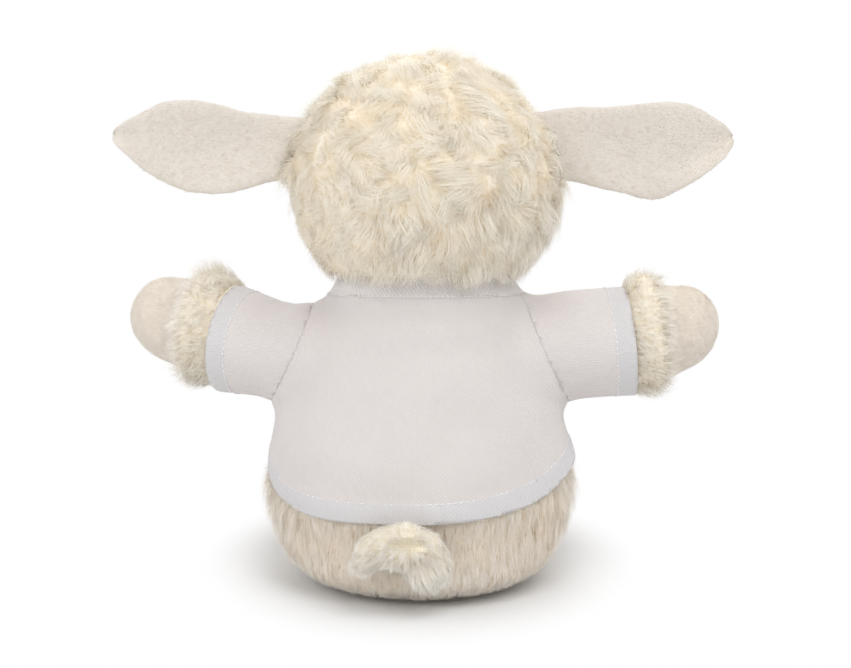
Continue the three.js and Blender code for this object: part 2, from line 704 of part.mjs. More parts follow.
// Tail: a puff that lies on the body's back, cut away above its seam so that it can be lifted
const tailPlace = [TAIL_SHIFT, torsoRadius(TAIL_HEIGHT) * TORSO_DEPTH + TAIL_PROUD, TAIL_HEIGHT];
const hemProud = SHIRT_EASE + JERSEY + 2 * HEM_SLACK + JOINT_GAP;
const aboveTailSeam = [0, TAIL_LIFT / 2, TAIL_LIFT].map((lift) => {
  const room = new THREE.BoxGeometry(100, 100, 100).translate(0, hemProud - 50, 50);
  return toSolid(room.rotateX(-radians(lift)).translate(...tailPivot.toArray()));
});
const tailRoot = toSolid(
  new THREE.IcosahedronGeometry(TAIL_ROOT_RADIUS, BALL_DETAIL).translate(...tailPivot.toArray()),
);
const tail = ellipsoid(TAIL_SIZE, tailPlace)
  .subtract(join([torsoSolid(SEAM_GAP), ...aboveTailSeam]))
  .add(tailRoot);

// The assembly
const lamb = new THREE.Group();

function piece(name, geometry, fabric, parent = lamb) {
  const mesh = new THREE.Mesh(geometry, new THREE.MeshStandardMaterial({ ...FABRICS[fabric], metalness: 0 }));
  mesh.name = name;
  parent.add(mesh);
  return mesh;
}

piece("body_skin", toGeometry(bodySkin), "fur");
piece("body_filling", toGeometry(bodyFilling), "filling");
piece("pellet_bag", toGeometry(pelletBag), "bag");
piece("shirt_back", toGeometry(shirtBack), "jersey");
piece("shirt_front", toGeometry(shirtFront), "jersey");
piece("neckband", toGeometry(neckband), "jersey").position.copy(neck);
piece("neck_filling", toGeometry(neckFilling), "filling").position.copy(neck);
piece("head_skin", toGeometry(headSkin), "fur");
piece("head_filling", toGeometry(headFilling), "filling");
piece("face_skin", toGeometry(faceSkin), "shortPile");
piece("nose", toGeometry(nose), "thread");
piece("mouth_stitch", toGeometry(mouthStitch), "thread");
piece("tail_skin", toGeometry(tail), "fur");

for (const [name, side] of Object.entries(SIDES)) {
  const eye = eyeSeat(side);
  piece(`eye_${name}`, toGeometry(eyeSolid), "eye", eye);
  piece(`eye_washer_${name}`, toGeometry(washerSolid), "washer", eye);

  const ear = new THREE.Group();
  ear.position.set(NECK_SHIFT + side * EAR_SPREAD, 0, NECK_HEIGHT + EAR_RISE);
  piece(`ear_${name}_back`, earLayer(side), "shortPile", ear);
  piece(`ear_${name}_front`, earLayer(-side), "shortPile", ear);
  if (side < 0) ear.rotation.z = Math.PI;

  const armGroup = armPlace(name);
  piece(`arm_${name}_skin`, toGeometry(arm.skin), "fur", armGroup);
  piece(`hand_${name}_skin`, toGeometry(arm.end), "shortPile", armGroup);
  piece(`arm_${name}_filling`, toGeometry(arm.filling), "filling", armGroup);
  piece(`sleeve_${name}`, toGeometry(sleeve), "jersey", armGroup);

  const legGroup = legPlace(name);
  piece(`leg_${name}_skin`, toGeometry(leg.skin), "fur", legGroup);
  piece(`foot_${name}_skin`, toGeometry(leg.end), "shortPile", legGroup);
  piece(`leg_${name}_filling`, toGeometry(leg.filling), "filling", legGroup);
  lamb.add(eye, ear, armGroup, legGroup);
}

export default lamb;
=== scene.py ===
"""A seated plush lamb in a plain T-shirt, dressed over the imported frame. Sizes are in millimetres."""

import json
import logging
import math
from dataclasses import dataclass
from enum import Enum
from typing import Callable, Optional, Sequence, Union

import bmesh
import bpy
import numpy as np
from mathutils import Vector, kdtree
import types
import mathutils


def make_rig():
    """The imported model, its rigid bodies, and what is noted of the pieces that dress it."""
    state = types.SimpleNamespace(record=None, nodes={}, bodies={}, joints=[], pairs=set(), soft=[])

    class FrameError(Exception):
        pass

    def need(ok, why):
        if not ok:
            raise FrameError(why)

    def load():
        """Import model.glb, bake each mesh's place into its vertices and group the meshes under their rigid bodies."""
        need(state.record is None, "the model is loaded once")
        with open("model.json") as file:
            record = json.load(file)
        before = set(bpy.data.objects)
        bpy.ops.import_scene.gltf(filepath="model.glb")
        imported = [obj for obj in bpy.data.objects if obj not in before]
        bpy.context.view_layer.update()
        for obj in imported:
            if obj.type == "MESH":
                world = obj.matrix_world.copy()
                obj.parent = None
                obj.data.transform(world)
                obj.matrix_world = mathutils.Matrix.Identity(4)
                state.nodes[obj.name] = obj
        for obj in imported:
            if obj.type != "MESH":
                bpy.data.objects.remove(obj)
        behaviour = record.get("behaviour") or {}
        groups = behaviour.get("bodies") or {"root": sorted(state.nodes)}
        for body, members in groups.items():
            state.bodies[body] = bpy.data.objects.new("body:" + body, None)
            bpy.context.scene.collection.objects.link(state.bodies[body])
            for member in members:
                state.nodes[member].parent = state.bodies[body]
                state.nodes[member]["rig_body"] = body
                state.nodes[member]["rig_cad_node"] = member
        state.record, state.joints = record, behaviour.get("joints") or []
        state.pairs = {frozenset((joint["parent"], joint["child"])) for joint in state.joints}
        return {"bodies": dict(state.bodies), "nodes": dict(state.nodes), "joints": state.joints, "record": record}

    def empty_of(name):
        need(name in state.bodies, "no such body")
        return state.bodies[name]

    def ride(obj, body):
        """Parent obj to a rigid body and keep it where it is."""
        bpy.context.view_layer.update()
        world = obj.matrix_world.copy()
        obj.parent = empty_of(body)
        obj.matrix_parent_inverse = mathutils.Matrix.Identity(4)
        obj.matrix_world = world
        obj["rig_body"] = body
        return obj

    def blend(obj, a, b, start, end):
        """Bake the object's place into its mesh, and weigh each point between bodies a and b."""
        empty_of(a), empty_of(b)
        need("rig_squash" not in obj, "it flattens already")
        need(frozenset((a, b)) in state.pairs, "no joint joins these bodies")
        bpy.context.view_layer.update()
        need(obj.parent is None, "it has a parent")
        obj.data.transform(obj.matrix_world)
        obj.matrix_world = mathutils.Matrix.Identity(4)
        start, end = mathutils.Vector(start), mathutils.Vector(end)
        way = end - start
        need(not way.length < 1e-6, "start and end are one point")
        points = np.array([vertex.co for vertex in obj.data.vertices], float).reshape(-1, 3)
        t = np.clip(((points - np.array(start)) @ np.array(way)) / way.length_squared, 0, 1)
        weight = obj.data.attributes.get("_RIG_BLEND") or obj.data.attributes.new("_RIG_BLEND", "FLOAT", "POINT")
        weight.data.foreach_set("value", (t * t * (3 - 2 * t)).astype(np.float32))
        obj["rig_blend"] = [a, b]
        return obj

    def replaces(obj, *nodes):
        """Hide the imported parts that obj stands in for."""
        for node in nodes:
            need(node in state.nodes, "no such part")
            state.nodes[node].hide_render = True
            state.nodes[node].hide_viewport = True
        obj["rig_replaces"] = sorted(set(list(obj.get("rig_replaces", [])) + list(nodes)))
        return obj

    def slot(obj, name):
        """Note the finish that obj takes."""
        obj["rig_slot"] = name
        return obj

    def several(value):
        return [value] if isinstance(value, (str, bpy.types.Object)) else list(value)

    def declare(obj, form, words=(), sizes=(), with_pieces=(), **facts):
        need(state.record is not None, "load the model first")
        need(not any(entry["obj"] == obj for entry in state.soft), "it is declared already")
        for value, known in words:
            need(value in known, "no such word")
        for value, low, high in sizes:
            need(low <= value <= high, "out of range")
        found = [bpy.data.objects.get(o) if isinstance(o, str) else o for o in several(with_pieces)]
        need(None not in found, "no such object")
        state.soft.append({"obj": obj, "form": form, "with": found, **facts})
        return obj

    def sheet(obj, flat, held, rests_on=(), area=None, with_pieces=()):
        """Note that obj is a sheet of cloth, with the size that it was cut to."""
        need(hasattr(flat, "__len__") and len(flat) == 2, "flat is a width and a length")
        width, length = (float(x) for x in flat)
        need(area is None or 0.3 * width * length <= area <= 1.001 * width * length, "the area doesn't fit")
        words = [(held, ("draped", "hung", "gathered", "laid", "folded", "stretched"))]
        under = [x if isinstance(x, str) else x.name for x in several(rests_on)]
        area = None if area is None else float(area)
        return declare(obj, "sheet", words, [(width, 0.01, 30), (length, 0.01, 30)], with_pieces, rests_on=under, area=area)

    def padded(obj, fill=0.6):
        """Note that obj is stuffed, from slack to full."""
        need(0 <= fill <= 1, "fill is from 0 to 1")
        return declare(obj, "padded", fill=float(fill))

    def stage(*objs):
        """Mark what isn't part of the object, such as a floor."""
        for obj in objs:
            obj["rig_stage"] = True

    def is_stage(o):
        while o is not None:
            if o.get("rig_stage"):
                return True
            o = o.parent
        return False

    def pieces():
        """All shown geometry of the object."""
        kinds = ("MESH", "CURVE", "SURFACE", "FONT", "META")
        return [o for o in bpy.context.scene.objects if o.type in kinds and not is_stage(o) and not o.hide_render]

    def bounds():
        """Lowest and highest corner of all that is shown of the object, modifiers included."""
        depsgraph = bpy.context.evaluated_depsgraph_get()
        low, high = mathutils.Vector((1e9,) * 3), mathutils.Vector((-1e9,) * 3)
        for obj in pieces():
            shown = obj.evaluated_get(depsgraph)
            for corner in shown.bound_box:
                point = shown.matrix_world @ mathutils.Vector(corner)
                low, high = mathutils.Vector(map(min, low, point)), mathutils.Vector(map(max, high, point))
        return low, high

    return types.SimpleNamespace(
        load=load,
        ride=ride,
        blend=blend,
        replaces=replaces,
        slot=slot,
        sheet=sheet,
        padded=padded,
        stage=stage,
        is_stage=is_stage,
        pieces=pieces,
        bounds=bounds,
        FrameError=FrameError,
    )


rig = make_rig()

Points = np.ndarray
Values = np.ndarray
Floats = Sequence[float]
Measure = Callable[[Points], Values]  # a value for each point
Field = Measure  # how far each point lies outside a shape
Comb = Callable[[Points, Points], Points]
Move = Callable[[Points], Points]
Spot = tuple[float, float, float]
Piece = bpy.types.Object
Tree = bpy.types.NodeTree
Node = bpy.types.Node
Socket = bpy.types.NodeSocket
Colour = Union[str, Socket]

MM = 0.001
LOG = logging.getLogger("lamb")
NECK = np.array([-1.5, 0.0, 108.0])
HEAD = np.array([-1.5, 0.0, 143.0])
EAR_HEIGHT = 156.0
LUMP_PITCH = 18.0  # how far apart the soft lumps of the head's fur are
POINTS_AT_ONCE = 200000  # how many points a field is given in one call
PULLS = 3  # how often a net is drawn onto its surface
HALVINGS = 24  # how often a gap is halved to find the surface in it


class Side(Enum):
    """The toy's own left and right, as the sign of X."""

    LEFT = 1
    RIGHT = -1

    @property
    def word(self) -> str:
        """The side's name in lower case."""
        return self.name.lower()

    def share(self, left: float, right: float) -> float:
        """The value that holds on this side."""
        return left if self is Side.LEFT else right


# Fields: how far a point lies outside a soft shape


def ellipsoid(middle: Floats, half: Floats) -> Field:
    """A rounded lump.

    Args:
        middle: its centre.
        half: its half width, half depth and half height.

    Returns:
        The field of the lump.
    """
    centre, size = np.array(middle, float), np.array(half, float)

    def distance(p: Points) -> Values:
        """How far each point lies outside the lump."""
        q = (p - centre) / size
        k = np.linalg.norm(q, axis=1)
        return k * (k - 1) / np.maximum(np.linalg.norm(q / size, axis=1), 1e-6)

    return distance


def stuffed_tube(path: Sequence[Floats], radii: Floats) -> Field:
    """A sewn tube of changing thickness with round ends.

    Args:
        path: points along its middle.
        radii: its radius at each point.

    Returns:
        The field of the tube.
    """
    points = np.array(path, float)

    def distance(p: Points) -> Values:
        """How far each point lies outside the tube.

        Args:
            p: the points.

        Returns:
            A distance for each.
        """
        best = np.full(len(p), np.inf)
        for a, b, ra, rb in zip(points[:-1], points[1:], radii[:-1], radii[1:]):
            run = b - a
            t = np.clip((p - a) @ run / (run @ run), 0, 1)
            off = np.linalg.norm(p - a - t[:, None] * run, axis=1) - (ra + (rb - ra) * t)
            best = np.minimum(best, off)
        return best

    return distance


def rounded_max(a: Values, b: Values, softness: float) -> Values:
    """The larger of two values, with the corner between them rounded off."""
    h = np.clip(0.5 - 0.5 * (b - a) / softness, 0, 1)
    return b * (1 - h) + a * h + softness * h * (1 - h)


def joined(fields: Sequence[Field], softness: float) -> Field:
    """Shapes sewn into one, with a soft hollow where they meet.

    Args:
        fields: the shapes.
        softness: how wide the hollow is.

    Returns:
        The field of all of them.
    """

    def distance(p: Points) -> Values:
        """How far each point lies outside all of them."""
        total = fields[0](p)
        for other in fields[1:]:
            total = -rounded_max(-total, -other(p), softness)
        return total

    return distance


def hollowed(body: Field, tool: Field, softness: float) -> Field:
    """A shape with another scooped out of it."""
    return lambda p: rounded_max(body(p), -tool(p), softness)


def slope(field: Field, p: Points, step: float = 0.3) -> Points:
    """The way out of a soft shape.

    Args:
        field: the shape.
        p: the points to look from.
        step: how far from them the field is read.

    Returns:
        The direction in which the field grows at each point, with unit length.
    """
    axes = np.eye(3) * step
    g = np.stack([field(p + a) - field(p - a) for a in axes], axis=1)
    return g / np.maximum(np.linalg.norm(g, axis=1, keepdims=True), 1e-9)


def surface_of(field: Field, low: Floats, high: Floats, step: float) -> tuple[Points, Values]:
    """Quads over a field's surface.

    Args:
        field: the shape.
        low: the corner of a box around it.
        high: the other corner.
        step: the size of a quad.

    Returns:
        The points and the quads, which face outwards.
    """
    axes = [np.arange(a, b + step, step) for a, b in zip(low, high)]
    shape = tuple(len(a) for a in axes)
    grid = np.stack(np.meshgrid(*axes, indexing="ij"), axis=-1).reshape(-1, 3)
    parts = np.array_split(grid, max(1, len(grid) // POINTS_AT_ONCE))
    value = np.concatenate([field(part) for part in parts]).reshape(shape)
    inside = value < 0
    corners = [(i, j, k) for i in (0, 1) for j in (0, 1) for k in (0, 1)]

    def shifted(a: Values, c: Sequence[int]) -> Values:
        """An array's values at one corner of every cell."""
        return a[tuple(slice(c[i], a.shape[i] - 1 + c[i]) for i in range(3))]

    count = sum(shifted(inside, c).astype(int) for c in corners)
    active = (count > 0) & (count < 8)
    number = np.full(active.shape, -1)
    number[active] = np.arange(active.sum())
    cell = np.argwhere(active)
    total, hits = np.zeros((len(cell), 3)), np.zeros(len(cell))
    for c in corners:
        for axis in range(3):
            if c[axis]:
                continue
            d = list(c)
            d[axis] = 1
            a, b = shifted(value, c)[active], shifted(value, d)[active]
            cross = (a < 0) != (b < 0)
            t = np.where(cross, a / np.where(cross, a - b, 1), 0)
            place = np.tile(np.array(c, float), (len(cell), 1))
            place[:, axis] += t
            total += place * cross[:, None]
            hits += cross
    points = np.array(low) + (cell + total / hits[:, None]) * step
    quads = []
    for axis in range(3):
        u, v = (axis + 1) % 3, (axis + 2) % 3
        ahead = np.roll(inside, -1, axis)
        change = inside != ahead
        edge = np.argwhere(change)
        edge = edge[(edge[:, axis] < shape[axis] - 1) & (edge[:, u] > 0) & (edge[:, v] > 0)]
        edge = edge[(edge[:, u] < shape[u] - 1) & (edge[:, v] < shape[v] - 1)]
        out = inside[tuple(edge.T)]
        ring = []
        for du, dv in ((0, 0), (-1, 0), (-1, -1), (0, -1)):
            e = edge.copy()
            e[:, u] += du
            e[:, v] += dv
            ring.append(number[tuple(e.T)])
        quad = np.stack(ring, axis=1)
        quad[~out] = quad[~out][:, ::-1]
        quads.append(quad)
    for _ in range(PULLS):
        points = points - slope(field, points) * field(points)[:, None]
    return points, np.concatenate(quads)


# Meshes


def mesh_piece(
    name: str,
    points: Points,
    faces: Sequence[Values],
    uv: Optional[Values] = None,
    normals: Optional[Points] = None,
) -> Piece:
    """A mesh object from arrays.

    Args:
        name: the piece's name.
        points: its points.
        faces: one array of faces for each number of corners.
        uv: for each point, its place on the map that the fur's colours are read from.
        normals: for each point, the way that it faces when light falls on it.

    Returns:
        The object, in metres and shaded smooth.
    """
    mesh = bpy.data.meshes.new(name)
    mesh.vertices.add(len(points))
    mesh.vertices.foreach_set("co", (np.asarray(points) * MM).astype(np.float32).ravel())
    loops = np.concatenate([f.ravel() for f in faces]).astype(np.int32)
    sizes = np.concatenate([np.full(len(f), f.shape[1]) for f in faces])
    starts = np.concatenate([[0], np.cumsum(sizes)[:-1]]).astype(np.int32)
    mesh.loops.add(len(loops))
    mesh.loops.foreach_set("vertex_index", loops)
    mesh.polygons.add(len(sizes))
    mesh.polygons.foreach_set("loop_start", starts)
    mesh.polygons.foreach_set("use_smooth", np.ones(len(sizes), bool))
    if uv is not None:
        layer = mesh.uv_layers.new(name="OFBake")
        layer.data.foreach_set("uv", uv[loops].astype(np.float32).ravel())
    mesh.update(calc_edges=True)
    if normals is not None:
        mesh.normals_split_custom_set_from_vertices(normals.astype(np.float32))
    piece = bpy.data.objects.new(name, mesh)
    bpy.context.scene.collection.objects.link(piece)
    return piece


def reach(field: Field, start: Points, way: Points, least: float, most: float) -> Values:
    """How far it is from each start to a field's surface.

    Args:
        field: the shape, which the starts lie in.
        start: the starts, or one for all.
        way: the direction from each.
        least: a distance that is still inside.
        most: a distance that is outside.

    Returns:
        The distances.
    """
    low, high = np.full(len(way), least), np.full(len(way), most)
    for _ in range(HALVINGS):
        middle = (low + high) / 2
        inside = field(start + way * middle[:, None]) < 0
        low, high = np.where(inside, middle, low), np.where(inside, high, middle)
    return low


def grid_quads(rows: int, columns: int, closed: bool) -> Values:
    """The quads of a net of points.

    Args:
        rows: how many rows the net has.
        columns: how many points a row has.
        closed: whether each row closes on itself.

    Returns:
        The numbers of the four points of each quad.
    """
    r, c = np.meshgrid(np.arange(rows - 1), np.arange(columns if closed else columns - 1), indexing="ij")
    r, c = r.ravel(), c.ravel()
    d = (c + 1) % columns
    return np.stack([r * columns + c, r * columns + d, (r + 1) * columns + d, (r + 1) * columns + c], axis=1)


def unit(v: Points) -> Points:
    """Vectors with their length made 1."""
    return v / np.maximum(np.linalg.norm(v, axis=-1, keepdims=True), 1e-9)


def ramp(x: Values, low: float, high: float) -> Values:
    """0 below low and 1 above high, with a smooth rise between them."""
    t = np.clip((x - low) / (high - low), 0, 1)
    return t * t * (3 - 2 * t)


def nearness(p: Points, place: Floats, size: float) -> Values:
    """1 for points at a place, and less with their distance from it."""
    return np.exp(-((np.linalg.norm(p - np.array(place), axis=1) / size) ** 2))


def bend_between(first: Floats, last: Floats) -> dict[str, Spot]:
    """Where a blended piece starts and ends to bend, in metres."""
    return {"start": tuple(np.array(first) * MM), "end": tuple(np.array(last) * MM)}


def tousle(p: Points) -> Values:
    """How far the fur's soft lumps stand out.

    Args:
        p: points on the head.

    Returns:
        A value from about -1 to 1 for each.
    """
    x, y, z = p.T * (2 * math.pi / LUMP_PITCH)
    first = np.sin(x + 0.6 * y + 0.4) * np.sin(0.9 * z - 0.3 * x)
    return (first + np.sin(0.8 * y - 0.5 * z + 1.1) * np.cos(0.7 * x + z)) * 0.7


def waves(seed: int, scale: float, count: int = 7) -> Callable[[Points], Points]:
    """Soft random swirls.

    Args:
        seed: which swirls.
        scale: how far apart they are.
        count: how many waves are laid over each other.

    Returns:
        A function from points to vectors of about unit length.
    """
    rng = np.random.default_rng(seed)
    turn = unit(rng.normal(size=(count, 3))) * (2 * math.pi / scale) * rng.uniform(0.5, 1.5, (count, 1))
    push = unit(rng.normal(size=(count, 3)))
    start = rng.uniform(0, 2 * math.pi, count)
    return lambda p: np.sin(p @ turn.T + start) @ push * math.sqrt(2 / count)


# Finishes


def linear(hex_colour: str) -> tuple[float, float, float, float]:
    """An sRGB hex colour in linear light.

    Args:
        hex_colour: the colour, as #RRGGBB.

    Returns:
        Its red, green, blue and alpha.
    """
    parts = [int(hex_colour[i : i + 2], 16) / 255 for i in (1, 3, 5)]
    r, g, b = (c / 12.92 if c <= 0.04045 else ((c + 0.055) / 1.055) ** 2.4 for c in parts)
    return (r, g, b, 1.0)


def add_node(tree: Tree, kind: str, settings: Optional[dict] = None, links: Optional[dict] = None) -> Node:
    """Adds a node.

    Args:
        tree: the material's nodes.
        kind: the node's type.
        settings: values for its properties or sockets.
        links: for each of its sockets, the socket that feeds it.

    Returns:
        The node.
    """
    node = tree.nodes.new(kind)
    for key, value in (settings or {}).items():
        if isinstance(key, str) and hasattr(node, key):
            setattr(node, key, value)
        else:
            node.inputs[key].default_value = value
    for key, source in (links or {}).items():
        tree.links.new(source, node.inputs[key])
    return node


def blend_of(tree: Tree, share: Socket, first: Colour, second: Colour) -> Socket:
    """The mix of two colours by a share. Each is a socket or a hex colour.

    Args:
        tree: the material's nodes.
        share: the socket with the second colour's share.
        first: the colour at 0.
        second: the colour at 1.

    Returns:
        The socket of the mixed colour.
    """
    node = add_node(tree, "ShaderNodeMix", {"data_type": "RGBA"}, {0: share})
    for socket, colour in ((node.inputs[6], first), (node.inputs[7], second)):
        if isinstance(colour, str):
            socket.default_value = linear(colour)
        else:
            tree.links.new(colour, socket)
    return node.outputs[2]


@dataclass(frozen=True)
class Finish:
    """A look with a name. Each kind below says what its surface is and how it was made."""

    name: str

    def material(self) -> bpy.types.Material:
        """The finish as a new material.

        Returns:
            The material.
        """
        material = bpy.data.materials.new(self.name)
        material.use_nodes = True
        material.node_tree.nodes.clear()
        surface = self.surface(material.node_tree)
        add_node(material.node_tree, "ShaderNodeOutputMaterial", links={0: surface})
        return material

    def surface(self, tree: Tree) -> Socket:
        """Adds the surface's nodes and gives the socket of its shader."""
        raise NotImplementedError(self.name)


@dataclass(frozen=True)
class FauxFur(Finish):
    """Acrylic faux fur, knitted and brushed: matt hairs, warm near the backing and paler at the tips. The warmer root
    colours are partly the fur's own tint and partly painted warm shade in the hollows between the hairs.
    """

    root: str
    middle: str
    tip: str
    warm_root: str
    warm_tip: str
    middle_at: float = 0.45  # where the middle's colour lies along a hair
    through: float = 0.5  # the share of light that passes through a hair

    def surface(self, tree: Tree) -> Socket:
        """Hair whose colour goes from root to tip and differs from lock to lock.

        Args:
            tree: the material's nodes.

        Returns:
            The socket of the shader.
        """
        place = add_node(tree, "ShaderNodeUVMap", {"uv_map": "OFBake"})
        axes = add_node(tree, "ShaderNodeSeparateXYZ", links={0: place.outputs[0]})
        plain = self.gradient(tree, axes.outputs[1], (self.root, self.middle, self.tip))
        warm = self.gradient(tree, axes.outputs[1], (self.warm_root, self.middle, self.warm_tip))
        colour = blend_of(tree, axes.outputs[0], plain, warm)
        matt = {"Roughness": 0.8, "IOR": 1.45, "Specular IOR Level": 0.2, "Sheen Weight": 1.0}
        hair = add_node(tree, "ShaderNodeBsdfPrincipled", matt, {"Base Color": colour})
        lit = add_node(tree, "ShaderNodeBsdfTranslucent", links={"Color": colour})
        both = {1: hair.outputs[0], 2: lit.outputs[0]}
        return add_node(tree, "ShaderNodeMixShader", {0: self.through}, both).outputs[0]

    def gradient(self, tree: Tree, along: Socket, colours: Sequence[str]) -> Socket:
        """The colours over a hair's length.

        Args:
            tree: the material's nodes.
            along: the socket with the place along the hair.
            colours: the root's, the middle's and the tip's.

        Returns:
            The socket of the colour.
        """
        node = add_node(tree, "ShaderNodeValToRGB", links={0: along})
        stops = node.color_ramp.elements
        stops.new(self.middle_at)
        for stop, place, colour in zip(stops, (0.0, self.middle_at, 1.0), colours):
            stop.position, stop.color = place, linear(colour)
        return node.outputs[0]


@dataclass(frozen=True)
class Cloth(Finish):
    """Polyester yarn: matt, in two near shades, with its threads in relief."""

    first: str
    second: str

    def woven(self, tree: Tree, share: Socket, height: Socket, relief: dict, gloss: dict) -> Socket:
        """Adds the surface that every kind of cloth ends with.

        Args:
            tree: the material's nodes.
            share: the socket with the second shade's share.
            height: the socket with the height of the threads.
            relief: how deep the threads are.
            gloss: how the yarn shines.

        Returns:
            The socket of the shader.
        """
        colour = blend_of(tree, share, self.first, self.second)
        bump = add_node(tree, "ShaderNodeBump", relief, {"Height": height})
        links = {"Base Color": colour, "Normal": bump.outputs[0]}
        return add_node(tree, "ShaderNodeBsdfPrincipled", {"IOR": 1.5, **gloss}, links).outputs[0]


@dataclass(frozen=True)
class BrushedPlush(Cloth):
    """Short-pile polyester plush: matt, with fine wavy strokes where the pile was combed along the cloth."""

    stroke_mm: float = 0.85
    stroke_stretch: float = 0.36
    patch_mm: float = 7.0
    depth_mm: float = 0.3

    def surface(self, tree: Tree) -> Socket:
        """The cloth under the pile, with half its shade from the strokes and half from broad patches.

        Args:
            tree: the material's nodes.

        Returns:
            The socket of the shader.
        """
        place = add_node(tree, "ShaderNodeTexCoord").outputs["Object"]
        stretch = {"Scale": (self.stroke_stretch, 1.0, 1.0)}
        combed = add_node(tree, "ShaderNodeMapping", stretch, {"Vector": place})
        patches = {"Scale": 1 / (self.patch_mm * MM)}
        broad = add_node(tree, "ShaderNodeTexNoise", patches, {"Vector": place})
        wavy = {"Scale": 1 / (self.stroke_mm * MM), "Detail": 3.0, "Distortion": 0.7}
        strokes = add_node(tree, "ShaderNodeTexNoise", wavy, {"Vector": combed.outputs[0]})
        half = add_node(tree, "ShaderNodeMath", {"operation": "MULTIPLY", 1: 0.5}, {0: strokes.outputs[0]})
        halves = {0: broad.outputs[0], 2: half.outputs[0]}
        both = add_node(tree, "ShaderNodeMath", {"operation": "MULTIPLY_ADD", 1: 0.5}, halves)
        relief = {"Strength": 0.5, "Distance": self.depth_mm * MM}
        matt = {"Roughness": 0.85, "Specular IOR Level": 0.2, "Sheen Weight": 0.3}
        return self.woven(tree, both.outputs[0], strokes.outputs[0], relief, matt)


@dataclass(frozen=True)
class Jersey(Cloth):
    """Thin jersey: matt white with upright wales, greyer where one layer lies over the cream fur."""

    wale_mm: float = 0.85  # real wales are 0.5 mm; drawn coarser, as finer ones don't show at this size
    depth_mm: float = 0.12
    patch_mm: float = 16.0

    def surface(self, tree: Tree) -> Socket:
        """The knit. The map called Weave holds millimetres round and along the cloth.

        Args:
            tree: the material's nodes.

        Returns:
            The socket of the shader.
        """
        weave = add_node(tree, "ShaderNodeUVMap", {"uv_map": "Weave"}).outputs[0]
        solid = add_node(tree, "ShaderNodeTexCoord").outputs["Object"]
        upright = {"Scale": 1 / (self.wale_mm * math.pi), "Distortion": 0.6, "Detail": 1.0}
        slanted = {"Scale": 1 / (self.wale_mm * 0.9 * math.pi), "Distortion": 1.0}
        wales, loops = (
            add_node(tree, "ShaderNodeTexWave", {"bands_direction": way, **settings}, {"Vector": weave})
            for way, settings in (("X", upright), ("DIAGONAL", slanted))
        )
        both = {0: wales.outputs[1], 1: loops.outputs[1]}
        height = add_node(tree, "ShaderNodeMath", {"operation": "ADD"}, both)
        broad = add_node(tree, "ShaderNodeTexNoise", {"Scale": 1 / (self.patch_mm * MM)}, {"Vector": solid})
        relief = {"Strength": 0.55, "Distance": self.depth_mm * MM}
        matt = {"Roughness": 0.75, "Specular IOR Level": 0.25, "Sheen Weight": 0.2}
        return self.woven(tree, broad.outputs[0], height.outputs[0], relief, matt)


@dataclass(frozen=True)
class KnittedBacking(Cloth):
    """The knitted ground of the fur, where the hairs part: yellowish loops in rows."""

    loop_mm: float = 0.9
    depth_mm: float = 0.4

    def surface(self, tree: Tree) -> Socket:
        """Rows of loops, which are darker towards their edges.

        Args:
            tree: the material's nodes.

        Returns:
            The socket of the shader.
        """
        place = add_node(tree, "ShaderNodeTexCoord").outputs["Object"]
        rows = {"Scale": 1 / (self.loop_mm * MM), "Randomness": 0.35}
        edge = add_node(tree, "ShaderNodeTexVoronoi", rows, {"Vector": place}).outputs["Distance"]
        relief = {"Strength": 0.8, "Distance": self.depth_mm * MM, "invert": True}
        return self.woven(tree, edge, edge, relief, {"Roughness": 0.9, "Specular IOR Level": 0.2})


@dataclass(frozen=True)
class SpunThread(Cloth):
    """Twisted polyester thread: a soft shine along its strands."""

    twist_mm: float = 0.5
    depth_mm: float = 0.15

    def surface(self, tree: Tree) -> Socket:
        """The strands' twist.

        Args:
            tree: the material's nodes.

        Returns:
            The socket of the shader.
        """
        place = add_node(tree, "ShaderNodeTexCoord").outputs["Object"]
        twist = {"Scale": 1 / (self.twist_mm * MM * math.pi), "Distortion": 1.5}
        slanted = {"bands_direction": "DIAGONAL", **twist}
        strands = add_node(tree, "ShaderNodeTexWave", slanted, {"Vector": place}).outputs[1]
        relief = {"Strength": 0.5, "Distance": self.depth_mm * MM}
        return self.woven(tree, strands, strands, relief, {"Roughness": 0.5, "Sheen Weight": 0.2})


@dataclass(frozen=True)
class PolishedEye(Finish):
    """Injection-moulded acrylic, polished: nearly black, with a sharp highlight."""

    deep: str
    rim: str
    cloud_mm: float = 3.0

    def surface(self, tree: Tree) -> Socket:
        """Plastic that is a little browner in places.

        Args:
            tree: the material's nodes.

        Returns:
            The socket of the shader.
        """
        place = add_node(tree, "ShaderNodeTexCoord").outputs["Object"]
        cloud = add_node(tree, "ShaderNodeTexNoise", {"Scale": 1 / (self.cloud_mm * MM)}, {"Vector": place})
        colour = blend_of(tree, cloud.outputs[0], self.deep, self.rim)
        gloss = {"Roughness": 0.06, "IOR": 1.49, "Coat Weight": 0.5, "Coat Roughness": 0.03}
        return add_node(tree, "ShaderNodeBsdfPrincipled", gloss, {"Base Color": colour}).outputs[0]


